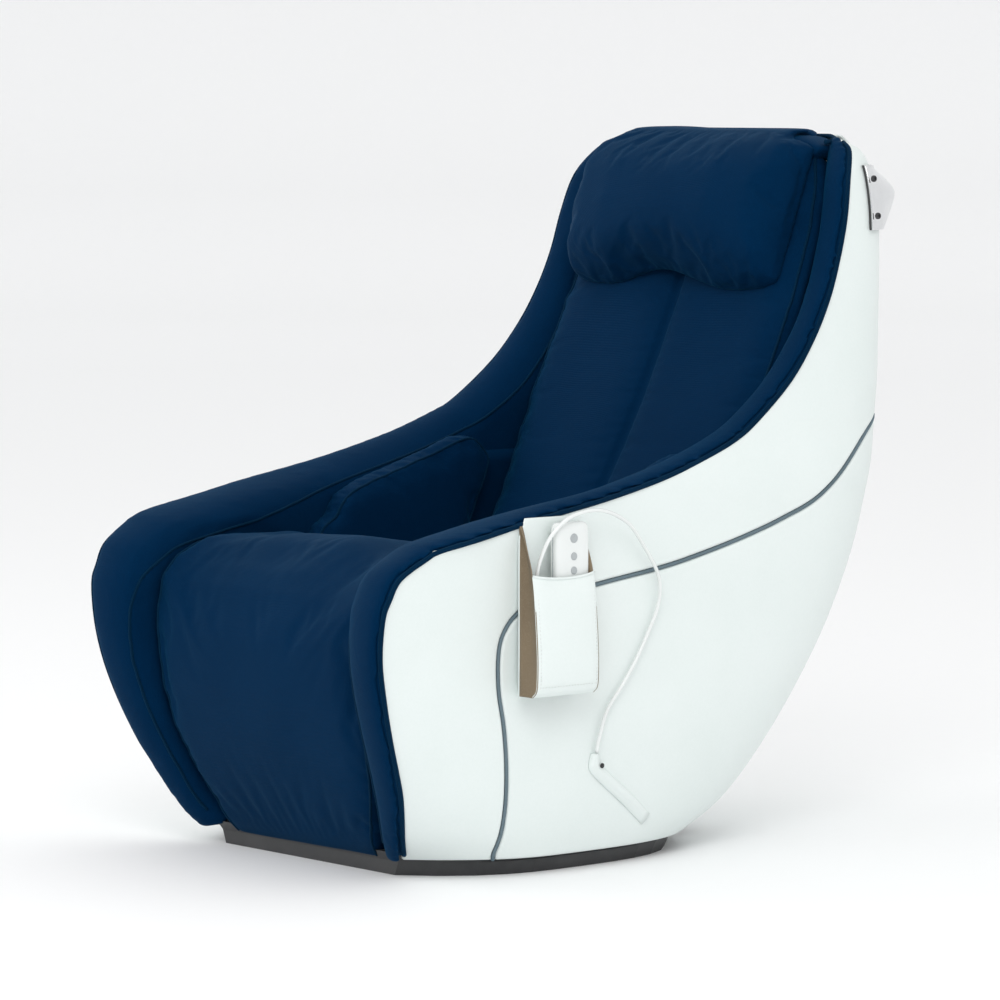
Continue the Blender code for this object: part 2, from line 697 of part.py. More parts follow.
# ---------------------------------------------------------------- massage mechanism
TOOTH_PITCH = 0.0100
RACK_TIP = 2.1820               # tips of the rack teeth, behind the rail
RACK_ROOT = 2.1775
RAIL_LOW, RAIL_HIGH = 0.385, 0.853
PINION_TEETH = 8
PINION_PITCH = PINION_TEETH * TOOTH_PITCH / (2 * math.pi)
PINION_DEPTH = 2.1800 + PINION_PITCH
PINION_ALONG = -0.028
KNEAD_DEPTH = 2.1860            # radius of the kneading shaft's axis
ECCENTRIC = 0.0020
ARM_X = 0.062
ROLLER_DEPTH, ROLLER_ALONG = 2.1650, 0.055
PLATE_DEPTH = 2.2075
CHEEK_X = 0.118


def guide_rails():
    """Arc rails with rack teeth along their rear edge."""
    low, high = arc_angle(RAIL_RADIUS, RAIL_LOW), arc_angle(RAIL_RADIUS, RAIL_HIGH)
    step = TOOTH_PITCH / RACK_TIP
    count = int((low - high) / step)
    for side, sign in SIDES:
        front = [arc_point(RAIL_RADIUS - 0.006, high + (low - high) * i / 12) for i in range(13)]
        rear = []
        for i in range(count):
            angle = low - (i + 0.5) * step
            for shift, radius in ((0.32, RACK_ROOT), (0.14, RACK_TIP), (-0.14, RACK_TIP), (-0.32, RACK_ROOT)):
                rear.append(arc_point(radius, angle + shift * step))
        outline = [Vector(p) for p in front + rear]
        x_low, x_high = sorted((sign * (RAIL_X - 0.004), sign * (RAIL_X + 0.004)))
        prism("guide_rail_" + side, outline, x_low, x_high, BARE)


CARRIAGE_ANGLE = arc_angle(RAIL_RADIUS, CARRIAGE_Z)


def on_carriage(x, depth, along):
    """A point on the carriage: depth is the arc radius, along is up the back from the middle."""
    y, z = arc_point(depth, CARRIAGE_ANGLE - along / RAIL_RADIUS)
    return Vector((x, y, z))


def carriage_box(name, size, x, depth, along, finish, bevel=0.0):
    """A box square to the arc: its size is given across, through and along the back."""
    angle = CARRIAGE_ANGLE - along / RAIL_RADIUS
    return box(name, size, on_carriage(x, depth, along), finish, tilt=-angle, bevel=bevel)


def cross_rod(name, radius, x_low, x_high, depth, along, finish, sides=16, loose=False):
    return rod(name, radius, on_carriage(x_low, depth, along), on_carriage(x_high, depth, along), finish,
               sides=sides, loose=loose)


def carriage_frame():
    """A back plate with two cheeks, and pins that ride in front of and behind each rail."""
    body = carriage_box("carriage_frame", (0.240, 0.004, 0.110), 0.0, PLATE_DEPTH, 0.0, STEEL)
    for sign in (-1, 1):
        join(body, carriage_box("cheek", (0.004, 0.050, 0.110), sign * CHEEK_X, 2.1840, 0.0, STEEL))
        for along in (-0.0485, 0.0485):
            for depth in (2.1612, 2.1868):
                join(body, cross_rod("pin", 0.0040, sign * CHEEK_X, sign * 0.164, depth, along, STEEL, 12))
    return cut(body, cross_rod("knead_bore", 0.0053, -0.2, 0.2, KNEAD_DEPTH, 0.0, STEEL, 20, loose=True),
               cross_rod("pinion_bore", 0.0053, -0.2, 0.2, PINION_DEPTH, PINION_ALONG, STEEL, 20, loose=True))


def gear_outline(teeth, root, tip, phase):
    """YZ points of a small gear about the origin, with trapezoid teeth."""
    step = 2 * math.pi / teeth
    outline = []
    for i in range(teeth):
        for share, radius in ((-0.30, root), (-0.12, tip), (0.12, tip), (0.30, root)):
            turn = phase + (i + share) * step
            outline.append(Vector((radius * math.cos(turn), radius * math.sin(turn))))
    return outline


def pinion_shaft():
    """The travel shaft across the carriage, with a pinion in mesh with each rail's rack."""
    centre = on_carriage(0.0, PINION_DEPTH, PINION_ALONG)
    angle = CARRIAGE_ANGLE - PINION_ALONG / RAIL_RADIUS
    teeth_below = (arc_angle(RAIL_RADIUS, RAIL_LOW) - angle) / (TOOTH_PITCH / RACK_TIP) - 0.5
    into_gap = (teeth_below - math.floor(teeth_below) - 0.5) * 2 * math.pi / PINION_TEETH
    phase = math.pi - angle - into_gap
    shaft = cross_rod("pinion_shaft", 0.0050, -0.161, 0.161, PINION_DEPTH, PINION_ALONG, BARE)
    for sign in (-1, 1):
        outline = gear_outline(PINION_TEETH, PINION_PITCH - 0.0029, PINION_PITCH + 0.0016, phase)
        low, high = sorted((sign * (RAIL_X - 0.0045), sign * (RAIL_X + 0.0045)))
        gear = prism("pinion", outline, low, high, BARE)
        gear.location = (0.0, centre.y, centre.z)
        join(shaft, gear)
    return shaft


def knead_shaft():
    """The kneading shaft with an eccentric disc for each arm, thrown to opposite sides."""
    shaft = cross_rod("knead_shaft", 0.0050, -0.125, 0.125, KNEAD_DEPTH, 0.0, BARE)
    for sign in (-1, 1):
        disc = cross_rod("disc", 0.0088, sign * ARM_X - 0.0055, sign * ARM_X + 0.0055,
                         KNEAD_DEPTH + sign * ECCENTRIC, 0.0, BARE, 20)
        join(shaft, disc)
    return shaft


def knead_arms():
    """An arm on each eccentric, with a roller on a pin at its upper and lower end."""
    outline = []
    for depth, along in ((2.1715, 0.000), (2.1690, 0.012), (2.1575, 0.050), (2.1570, 0.058), (2.1620, 0.0635),
                         (2.1690, 0.0625), (2.1725, 0.0560), (2.1770, 0.0300), (2.1960, 0.0125),
                         (2.2010, 0.0065), (2.2020, 0.0)):
        outline.append((depth, along))
    outline += [(depth, -along) for depth, along in reversed(outline[1:-1])]
    for side, sign in SIDES:
        spots = [on_carriage(0.0, depth, along) for depth, along in outline]
        low, high = sorted((sign * (ARM_X - 0.004), sign * (ARM_X + 0.004)))
        arm = prism("knead_arm_" + side, [Vector((p.y, p.z)) for p in spots], low, high, NYLON)
        cut(arm, cross_rod("arm_bore", 0.0116, sign * ARM_X - 0.01, sign * ARM_X + 0.01, KNEAD_DEPTH, 0.0,
                           STEEL, 24, loose=True))
        for end in (-1, 1):
            join(arm, cross_rod("roller_pin", 0.0035, *sorted((sign * ARM_X, sign * 0.0915)),
                                ROLLER_DEPTH, end * ROLLER_ALONG, NYLON, 16))


def rollers():
    """Four barrel-shaped massage rollers, bored for their pins."""
    for side, sign in SIDES:
        for level, end in (("upper", 1), ("lower", -1)):
            roller = turned(f"roller_{level}_{side}",
                            ((0.0039, 0.0108), (0.0190, 0.0108), (0.0232, 0.0080), (0.0250, 0.0025)),
                            RUBBER, 20)
            roller.rotation_euler = (0.0, math.pi / 2, 0.0)
            roller.location = on_carriage(sign * 0.0790, ROLLER_DEPTH, end * ROLLER_ALONG)


def gear_motor(name, x, depth, along, end):
    """A gearbox round a shaft with its motor standing off along the back."""
    case = carriage_box(name, (0.034, 0.034, 0.034), x, 2.1860, along, BLACK, bevel=0.003)
    boolean_ready(case)
    motor = rod("motor", 0.0150, on_carriage(x, 2.1860, along + end * 0.010),
                on_carriage(x, 2.1860, along + end * 0.062), BLACK, 20)
    cap = rod("cap", 0.0060, on_carriage(x, 2.1860, along + end * 0.060),
              on_carriage(x, 2.1860, along + end * 0.066), BLACK, 14)
    join(case, motor, cap)
    return cut(case, cross_rod("bore", 0.0053, -0.2, 0.2, depth, along, BLACK, 20, loose=True))


def boolean_ready(thing):
    """Fix a piece's modifiers into its mesh."""
    bpy.context.view_layer.update()
    graph = bpy.context.evaluated_depsgraph_get()
    result = bpy.data.meshes.new_from_object(thing.evaluated_get(graph))
    thing.modifiers.clear()
    thing.data = result


# ---------------------------------------------------------------- air and electric units
def case(name, size, centre, finish, bevel, *, ports=()):
    """A box-like unit with rounded edges, and round stubs joined to it."""
    unit = box(name, size, centre, finish, bevel=bevel)
    boolean_ready(unit)
    for start, end, radius in ports:
        join(unit, rod("port", radius, start, end, finish, 14))
    return unit


def base_units():
    """Air pump, valve block and control box on the base plate."""
    case("air_pump", (0.130, 0.100, 0.075), (-0.085, -0.215, 0.0690), BLACK, 0.010,
         ports=(((-0.030, -0.215, 0.070), (-0.006, -0.215, 0.070), 0.004),))
    case("valve_block", (0.070, 0.050, 0.045), (0.0330, -0.215, 0.0540), NYLON, 0.004,
         ports=(((0.045, -0.215, 0.075), (0.045, -0.215, 0.086), 0.0045),
                ((0.020, -0.215, 0.075), (0.020, -0.215, 0.086), 0.0045)))
    case("control_box", (0.180, 0.110, 0.060), (0.0, -0.060, 0.0610), BLACK, 0.006,
         ports=(((0.0, -0.010, 0.061), (0.0, 0.006, 0.061), 0.006),))


def power_inlet():
    """The mains inlet with its three blades, and the rocker switch beside it."""
    panel = box("power_inlet", INLET_SIZE, (INLET_X, INLET_FACE - INLET_SIZE[1] / 2, INLET_Z), BLACK)
    cut(panel, box("socket", (0.0260, 0.0240, 0.0200), (INLET_X - 0.016, INLET_FACE, INLET_Z), BLACK,
                   loose=True),
        box("rocker_slot", (0.0150, 0.0180, 0.0220), (INLET_X + 0.018, INLET_FACE, INLET_Z), BLACK,
            loose=True))
    for x, z in ((-0.0230, 0.0), (-0.0160, -0.0040), (-0.0090, 0.0)):
        join(panel, box("blade", (0.0016, 0.0100, 0.0044), (INLET_X + x, INLET_FACE - 0.0090, INLET_Z + z),
                        BLACK))
    profile = ((-0.0050, -0.0080), (-0.0050, 0.0080), (0.0015, 0.0095), (0.0004, 0.0), (0.0030, -0.0095))
    rocker = prism("power_rocker", [Vector(p) for p in profile], -0.0068, 0.0068, RUBBER)
    rocker.location = (INLET_X + 0.018, INLET_FACE - 0.0015, INLET_Z)


# ---------------------------------------------------------------- remote, pouch and cord
POUCH_Y, POUCH_HALF = -0.2205, 0.0515
POUCH_BACK = 0.3304             # x of the pouch's back, against the shell
POUCH_FRONT = ((0.455, 0.0100), (0.440, 0.0190), (0.392, 0.0290), (0.300, 0.0395), (0.250, 0.0385),
               (0.2385, 0.0300))
POUCH_WALL = 0.0022
MOUTH_Z = 0.391


def wedge(name, half, grow, low, high, loose):
    """The pouch's side outline between two heights, drawn in by a wall and carried across its width."""
    rings = []
    for y in (-half, half):
        ring = [(POUCH_BACK + grow, POUCH_Y + y, high), (POUCH_BACK + grow, POUCH_Y + y, low)]
        for z, thick in reversed(POUCH_FRONT):
            ring.append((POUCH_BACK + thick - grow, POUCH_Y + y, min(max(z, low + 0.0001 * z), high)))
        rings.append(ring)
    return loft(name, rings, WHITE, loose)


def pouch():
    """The stitched remote pouch: a back flap hung from the rim, wedge sides and an open mouth."""
    body = wedge("remote_pouch", POUCH_HALF, 0.0, 0.2365, 0.4550, False)
    hollow = wedge("pouch_hollow", POUCH_HALF - POUCH_WALL, POUCH_WALL, 0.2410, 0.4700, True)
    opening = box("pouch_mouth", (0.060, 2 * (POUCH_HALF - POUCH_WALL), 0.100),
                  (POUCH_BACK + POUCH_WALL + 0.030, POUCH_Y, MOUTH_Z + 0.050), WHITE, loose=True)
    return cut(body, hollow, opening)


REMOTE_X, REMOTE_LOW, REMOTE_HIGH = 0.3470, 0.2850, 0.4570
REMOTE_THICK = 0.0170
BUTTONS = (("power", 0.4370, 0.0060), ("up", 0.4140, 0.0050), ("down", 0.3960, 0.0050))


def remote():
    """The wired handset, its three push buttons and its strain relief at the lower end."""
    half, thick = 0.0280, REMOTE_THICK / 2
    rings = []
    for z, share in ((REMOTE_LOW, 0.86), (REMOTE_LOW + 0.006, 0.97), (0.330, 1.0), (0.420, 1.0),
                     (REMOTE_HIGH - 0.008, 0.97), (REMOTE_HIGH, 0.84)):
        ring = []
        for i in range(20):
            turn = 2 * math.pi * i / 20
            y = half * share * math.copysign(abs(math.cos(turn)) ** 0.40, math.cos(turn))
            x = thick * share * math.copysign(abs(math.sin(turn)) ** 0.40, math.sin(turn))
            ring.append((REMOTE_X + x, REMOTE_Y + y, z))
        rings.append(ring)
    body = loft("remote_body", rings, GLOSS)
    join(body, rod("relief", 0.0045, (REMOTE_X, REMOTE_Y, REMOTE_LOW + 0.002), (REMOTE_X, REMOTE_Y, 0.2790),
                   GLOSS, 14, radius_end=0.0034))
    face = REMOTE_X + thick
    for name, z, radius in BUTTONS:
        cut(body, rod("button_hole", radius + 0.0003, (face - 0.0040, REMOTE_Y, z),
                      (face + 0.01, REMOTE_Y, z), GLOSS, 20, loose=True))
        rod("button_" + name, radius, (face - 0.0025, REMOTE_Y, z), (face + 0.0012, REMOTE_Y, z), GREY, 20)
    return body


CORD_RADIUS = 0.0025
CORD_ROUTE = (
    (0.3216, -0.1325, 0.1545), (0.3234, -0.1322, 0.1650), (0.3248, -0.1290, 0.1790),
    (0.3268, -0.1190, 0.2084), (0.3290, -0.0933, 0.2414), (0.3304, -0.0720, 0.2720),
    (0.3322, -0.0537, 0.3051), (0.3345, -0.0405, 0.3350), (0.3385, -0.0390, 0.3620),
    (0.3440, -0.0500, 0.3860), (0.3500, -0.0773, 0.4195), (0.3570, -0.1118, 0.4520),
    (0.3605, -0.1600, 0.4705), (0.3605, -0.2080, 0.4655), (0.3560, -0.2380, 0.4430),
    (0.3500, -0.2520, 0.4120), (0.3472, -0.2565, 0.3850), (0.3470, -0.2570, 0.3500),
    (0.3470, -0.2550, 0.3100), (0.3470, -0.2490, 0.2750), (0.3470, -0.2380, 0.2540),
    (0.3470, -0.2250, 0.2475), (0.3470, -0.2130, 0.2540), (0.3470, REMOTE_Y, 0.2680),
    (0.3470, REMOTE_Y, 0.2787),
)


def remote_cord():
    """The handset's lead, from the cable guide over the pouch and down inside it to the handset."""
    tube("remote_cord", CORD_RADIUS, evenly(smooth_line(CORD_ROUTE, 8), 0.0140), WHITE)


GUIDE_TOP, GUIDE_LOW = (-0.1325, 0.1525), (-0.0300, 0.0560)   # y, z of the cable guide's ends


def cable_guide():
    """A flat moulded channel that holds the lead against the shell down to the base."""
    rings = []
    top, low = Vector(GUIDE_TOP), Vector(GUIDE_LOW)
    corner = Vector((-0.128, 0.132))
    spine = [top] + [corner.lerp(low, i / 6) for i in range(7)]
    for i, spot in enumerate(spine):
        ahead, behind = spine[min(i + 1, 7)], spine[max(i - 1, 0)]
        along = (ahead - behind).normalized()
        across = Vector((-along.y, along.x))
        ring = []
        for side, rise in ((-1, 0.001), (-1, 0.0042), (-0.5, 0.0064), (0.5, 0.0064), (1, 0.0042), (1, 0.001)):
            half = 0.0060 if i == 0 else 0.0090
            place_at = spot + across * half * side
            ring.append((shell_x(place_at.x, place_at.y) + rise, place_at.x, place_at.y))
        rings.append(ring)
    loft("cable_guide", rings, WHITE)


# ---------------------------------------------------------------- build
clear_scene()
CHAIR = make_collection("massage_chair")
CUTTERS = make_collection("cutters")
shell_panels()
seam_piping()
base_plate()
wheels()
frame()
arm_rolls()
back_pad()
pillow()
seat()
rear_handle()
guide_rails()
carriage_frame()
pinion_shaft()
knead_shaft()
knead_arms()
rollers()
gear_motor("knead_motor", 0.020, KNEAD_DEPTH, 0.0, 1)
gear_motor("travel_motor", -0.020, PINION_DEPTH, PINION_ALONG, -1)
base_units()
power_inlet()
pouch()
remote()
remote_cord()
cable_guide()
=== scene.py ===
"""The looks of a compact massage chair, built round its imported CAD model.

White leatherette panels with a grey welt, stuffed navy upholstery, a stitched pouch with a wired
remote, chrome handle brackets and a black base.  Metres, +Z up; the sitter faces -Y.
"""
import json
import math

import bmesh
import bpy
import numpy as np
from mathutils import Matrix, Vector, noise
from mathutils.bvhtree import BVHTree
from mathutils.geometry import delaunay_2d_cdt
from mathutils.kdtree import KDTree


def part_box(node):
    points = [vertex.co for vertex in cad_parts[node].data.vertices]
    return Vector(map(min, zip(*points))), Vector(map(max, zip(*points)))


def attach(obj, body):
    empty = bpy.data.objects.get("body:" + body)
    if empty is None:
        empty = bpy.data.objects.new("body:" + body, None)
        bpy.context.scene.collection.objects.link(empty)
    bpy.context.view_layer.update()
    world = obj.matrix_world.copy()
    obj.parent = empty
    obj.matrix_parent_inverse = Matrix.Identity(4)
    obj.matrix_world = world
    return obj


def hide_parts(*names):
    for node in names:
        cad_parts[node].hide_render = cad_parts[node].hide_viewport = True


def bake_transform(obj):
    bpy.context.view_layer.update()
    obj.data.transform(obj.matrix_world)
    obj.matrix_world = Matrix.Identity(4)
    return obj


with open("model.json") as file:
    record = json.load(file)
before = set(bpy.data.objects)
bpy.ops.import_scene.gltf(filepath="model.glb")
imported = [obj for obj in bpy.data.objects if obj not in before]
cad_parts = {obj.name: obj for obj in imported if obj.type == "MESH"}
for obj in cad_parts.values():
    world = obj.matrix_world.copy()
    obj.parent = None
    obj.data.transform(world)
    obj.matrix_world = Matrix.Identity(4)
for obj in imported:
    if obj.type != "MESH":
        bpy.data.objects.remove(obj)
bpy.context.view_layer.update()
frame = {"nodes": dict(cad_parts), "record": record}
for plain in list(bpy.data.materials):
    bpy.data.materials.remove(plain)
SIDES = (("left", 1), ("right", -1))

# ---------------------------------------------------------------- the part's own dimensions
# Outer body by height: height, half width, front edge y, half width at the front edge, back y
BODY_STATIONS = (
    (0.020, 0.292, -0.352, 0.196, 0.140),
    (0.060, 0.303, -0.386, 0.238, 0.212),
    (0.120, 0.312, -0.416, 0.270, 0.270),
    (0.200, 0.320, -0.450, 0.290, 0.327),
    (0.300, 0.326, -0.476, 0.303, 0.382),
    (0.400, 0.330, -0.450, 0.315, 0.417),
    (0.440, 0.330, -0.345, 0.3285, 0.426),
    (0.480, 0.330, -0.300, 0.330, 0.434),
    (0.560, 0.315, -0.050, 0.315, 0.451),
    (0.640, 0.305, 0.050, 0.305, 0.459),
    (0.740, 0.297, 0.100, 0.297, 0.459),
    (0.830, 0.291, 0.130, 0.291, 0.456),
    (0.883, 0.282, 0.150, 0.282, 0.447),
    (0.920, 0.263, 0.160, 0.263, 0.440),
    (0.940, 0.217, 0.170, 0.217, 0.428),
)
# Rim between shell and padding: half width, y, z, width of the padded roll, drop of its inner edge
RIM = (
    (0.212, -0.363, 0.031, 0.049, 0.008),
    (0.233, -0.382, 0.054, 0.052, 0.009),
    (0.253, -0.399, 0.084, 0.058, 0.011),
    (0.267, -0.412, 0.113, 0.065, 0.014),
    (0.277, -0.425, 0.140, 0.067, 0.017),
    (0.289, -0.447, 0.193, 0.070, 0.022),
    (0.298, -0.464, 0.246, 0.075, 0.030),
    (0.303, -0.474, 0.297, 0.079, 0.034),
    (0.309, -0.474, 0.348, 0.086, 0.036),
    (0.311, -0.465, 0.372, 0.089, 0.037),
    (0.314, -0.451, 0.397, 0.092, 0.038),
    (0.320, -0.416, 0.419, 0.098, 0.037),
    (0.323, -0.394, 0.429, 0.101, 0.035),
    (0.330, -0.337, 0.441, 0.106, 0.034),
    (0.328, -0.241, 0.460, 0.096, 0.034),
    (0.330, -0.129, 0.480, 0.080, 0.024),
    (0.327, -0.030, 0.501, 0.077, 0.018),
    (0.320, 0.050, 0.523, 0.070, 0.018),
    (0.316, 0.112, 0.546, 0.068, 0.020),
    (0.311, 0.156, 0.570, 0.067, 0.026),
    (0.306, 0.220, 0.620, 0.064, 0.034),
    (0.301, 0.265, 0.672, 0.060, 0.036),
    (0.297, 0.297, 0.724, 0.058, 0.036),
    (0.293, 0.319, 0.776, 0.056, 0.034),
    (0.290, 0.335, 0.830, 0.054, 0.032),
    (0.279, 0.351, 0.883, 0.054, 0.028),
    (0.256, 0.375, 0.920, 0.050, 0.022),
    (0.233, 0.387, 0.931, 0.040, 0.018),
)
# The rim's last place, at the top corner of the back
RIM_END = (0.2210, 0.3970, 0.9320, 0.034, 0.014)
# Side seam in the YZ plane, from the rear forward and down to the base
SEAM = (
    (0.600, 0.640), (0.480, 0.590), (0.400, 0.557), (0.355, 0.533), (0.263, 0.468), (0.190, 0.440),
    (0.118, 0.419), (0.047, 0.402), (-0.023, 0.388), (-0.131, 0.373), (-0.220, 0.358),
    (-0.262, 0.345), (-0.284, 0.325), (-0.294, 0.297), (-0.292, 0.247), (-0.280, 0.195),
    (-0.270, 0.131), (-0.266, 0.066), (-0.269, -0.010),
)
SEAM_HALF = 0.0022              # half the groove between two shell panels
BACK_SPLIT = 0.200              # half width of the rear cover
FLOOR_EDGE = 0.0205             # height of the shell's lower edge
ARC_Y, ARC_Z, PAD_RADIUS = -1.635, 1.557, 2.100
CORD_RADIUS = 0.0025
CORD_ROUTE = (
    (0.3216, -0.1325, 0.1545), (0.3234, -0.1322, 0.1650), (0.3248, -0.1290, 0.1790),
    (0.3268, -0.1190, 0.2084), (0.3290, -0.0933, 0.2414), (0.3304, -0.0720, 0.2720),
    (0.3322, -0.0537, 0.3051), (0.3345, -0.0405, 0.3350), (0.3385, -0.0390, 0.3620),
    (0.3440, -0.0500, 0.3860), (0.3500, -0.0773, 0.4195), (0.3570, -0.1118, 0.4520),
    (0.3605, -0.1600, 0.4705), (0.3605, -0.2080, 0.4655), (0.3560, -0.2380, 0.4430),
    (0.3500, -0.2520, 0.4120), (0.3472, -0.2565, 0.3850), (0.3470, -0.2570, 0.3500),
    (0.3470, -0.2550, 0.3100), (0.3470, -0.2490, 0.2750), (0.3470, -0.2380, 0.2540),
    (0.3470, -0.2250, 0.2475), (0.3470, -0.2130, 0.2540), (0.3470, -0.2010, 0.2680),
    (0.3470, -0.2010, 0.2787),
)


# ---------------------------------------------------------------- lines and curves
def smooth_line(points, spans):
    """Points along a Catmull-Rom curve through the given ones, with equal spans for each pair."""
    points = [Vector(p) for p in points]
    ends = [points[0] * 2 - points[1], *points, points[-1] * 2 - points[-2]]
    line = []
    for i in range(1, len(ends) - 2):
        before, start, end, after = ends[i - 1:i + 3]
        for k in range(spans):
            t = k / spans
            line.append(0.5 * (2 * start + (end - before) * t
                               + (2 * before - 5 * start + 4 * end - after) * t ** 2
                               + (3 * start - before - 3 * end + after) * t ** 3))
    line.append(points[-1])
    return line


def evenly(points, spacing):
    """The same line with its points a set distance apart."""
    points = [Vector(p) for p in points]
    reach = np.concatenate([[0.0], np.cumsum([(b - a).length for a, b in zip(points, points[1:])])])
    count = max(2, round(reach[-1] / spacing))
    wanted = np.linspace(0.0, reach[-1], count + 1)
    columns = [np.interp(wanted, reach, [p[k] for p in points]) for k in range(len(points[0]))]
    return [Vector(spot) for spot in zip(*columns)]


def offset_line(points, distance):
    """A flat line moved sideways, to the left of its own direction."""
    moved = []
    for i, spot in enumerate(points):
        along = (points[min(i + 1, len(points) - 1)] - points[max(i - 1, 0)]).normalized()
        moved.append(spot + Vector((-along.y, along.x)) * distance)
    return moved


def dense_rows(rows, step):
    """Rows of (place, value, ...) read from a smooth curve with no overshoot, at every step."""
    rows = np.array(rows, float)
    gaps = np.diff(rows[:, 0])[:, None]
    slopes = np.diff(rows[:, 1:], axis=0) / gaps
    product = slopes[:-1] * slopes[1:]
    total = slopes[:-1] + slopes[1:]
    tangents = np.zeros_like(rows[:, 1:])
    tangents[1:-1] = np.where(product > 0, 2 * product / np.where(product > 0, total, 1.0), 0.0)
    tangents[0], tangents[-1] = slopes[0], slopes[-1]
    places = np.arange(rows[0, 0], rows[-1, 0] + step / 2, step)
    k = np.clip(np.searchsorted(rows[:, 0], places, side="right") - 1, 0, len(rows) - 2)
    t = ((places - rows[k, 0]) / gaps[k, 0])[:, None]
    gap = gaps[k]
    values = ((1 + 2 * t) * (1 - t) ** 2 * rows[k, 1:] + t * (1 - t) ** 2 * gap * tangents[k]
              + t * t * (3 - 2 * t) * rows[k + 1, 1:] + t * t * (t - 1) * gap * tangents[k + 1])
    return np.column_stack([places, values])


# ---------------------------------------------------------------- the tub's outer form
BODY = dense_rows(BODY_STATIONS, 0.002)


def body_at(height):
    """Half width, front y, front half width and back y at a height."""
    place = (height - BODY[0, 0]) / 0.002
    k = min(max(int(place), 0), len(BODY) - 2)
    return BODY[k, 1:] + (BODY[k + 1, 1:] - BODY[k, 1:]) * (place - k)


def widest_y(height):
    """Where along the side the body is widest at a height."""
    return -0.17 + 0.42 * height


def squareness(height):
    """The power of the curve round the rear corners at a height; the top is the squarest."""
    return 3.3 + 3.6 * height


def shell_x(y, height):
    """Half width of the body at a place on its side."""
    half, front, front_half, back = body_at(height)
    middle, power = widest_y(height), squareness(height)
    if y < middle:
        return half - (half - front_half) * ((middle - y) / (middle - front)) ** 2.5
    return half * (1 - min(1.0, (y - middle) / (back - middle)) ** power) ** (1 / power)


def plan_back(x, height):
    """The y of the rear of the body at this x."""
    half, _, _, back = body_at(height)
    middle, power = widest_y(height), squareness(height)
    return middle + (back - middle) * (1 - (abs(x) / half) ** power) ** (1 / power)


SPREAD = 0.55                   # metres that one unit of the round-the-body place stands for


def side_point(u, height):
    """A point on the left side: u runs from the front edge, through the widest place at 0, to the rear."""
    half, front, front_half, back = body_at(height)
    middle, power = widest_y(height), squareness(height)
    if u < 0:
        share = -u / SPREAD
        return Vector((half - (half - front_half) * share ** 2.5, middle - (middle - front) * share, height))
    turn = math.pi / 2 * u / SPREAD
    b = back - middle
    reach = (abs(math.cos(turn) / half) ** power + abs(math.sin(turn) / b) ** power) ** (-1 / power)
    return Vector((reach * math.cos(turn), middle + reach * math.sin(turn), height))


def side_place(y, height):
    """The (u, height) of a point on the left side."""
    _, front, _, _ = body_at(height)
    middle = widest_y(height)
    if y < middle:
        return Vector((-SPREAD * (middle - y) / (middle - front), height))
    return Vector((SPREAD * math.atan2(y - middle, shell_x(y, height)) / (math.pi / 2), height))


def back_point(x, height):
    return Vector((x, plan_back(x, height), height))


# ---------------------------------------------------------------- making pieces
def finished_mesh(piece):
    """Fix a piece's modifiers into its mesh."""
    bpy.context.view_layer.update()
    graph = bpy.context.evaluated_depsgraph_get()
    result = bpy.data.meshes.new_from_object(piece.evaluated_get(graph))
    piece.modifiers.clear()
    piece.data = result
    return piece


def new_piece(name, mesh):
    piece = bpy.data.objects.new(name, mesh)
    bpy.context.scene.collection.objects.link(piece)
    return piece


def from_bmesh(shape, name, normals=True):
    if normals:
        bmesh.ops.recalc_face_normals(shape, faces=shape.faces)
    mesh = bpy.data.meshes.new(name)
    shape.to_mesh(mesh)
    shape.free()
    mesh.shade_smooth()
    return new_piece(name, mesh)


def dress(piece, finish, body="root", stands_for=()):
    """Give a piece its material, the body it moves with, and the CAD nodes it stands for."""
    piece.data.materials.clear()
    piece.data.materials.append(finish)
    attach(piece, body)
    if stands_for:
        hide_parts(*stands_for)
    return piece


def modifier(piece, kind, **settings):
    step = piece.modifiers.new(kind.lower(), kind)
    for key, value in settings.items():
        setattr(step, key, value)
    return step


def mirrored(piece, name):
    """A copy of a left piece on the right side."""
    copy = new_piece(name, piece.data.copy())
    copy.data.transform(Matrix.Scale(-1, 4, (1, 0, 0)))
    copy.data.flip_normals()
    return copy


def loft(name, rings, closed=True, capped=True):
    """A skin through rings of equal length."""
    shape = bmesh.new()
    rows = [[shape.verts.new(spot) for spot in ring] for ring in rings]
    for low, high in zip(rows, rows[1:]):
        for i in range(len(low) if closed else len(low) - 1):
            j = (i + 1) % len(low)
            shape.faces.new((low[i], low[j], high[j], high[i]))
    if capped:
        shape.faces.new(rows[0])
        shape.faces.new(rows[-1])
    return from_bmesh(shape, name)


def tube(name, points, radius, sides=10):
    """A round tube along a line, with closed ends."""
    points = [Vector(p) for p in points]
    rings = []
    up = Vector((0, 0, 1))
    for i, spot in enumerate(points):
        along = (points[min(i + 1, len(points) - 1)] - points[max(i - 1, 0)]).normalized()
        across = up.cross(along)
        across = across.normalized() if across.length > 0.05 else Vector((1, 0, 0)).cross(along).normalized()
        up = along.cross(across).normalized()
        rings.append([spot + (across * math.cos(2 * math.pi * k / sides)
                              + up * math.sin(2 * math.pi * k / sides)) * radius for k in range(sides)])
    return loft(name, rings)


def turned(name, profile, centre, axis, sides=48):
    """A solid turned about an axis through the centre: rows of (radius, place along the axis)."""
    turn = Vector(axis).to_track_quat("Z", "Y").to_matrix()
    rings = []
    for radius, along in profile:
        turns = [2 * math.pi * k / sides for k in range(sides)]
        ring = [Vector((radius * math.cos(a), radius * math.sin(a), along)) for a in turns]
        rings.append([Vector(centre) + turn @ spot for spot in ring])
    return loft(name, rings)


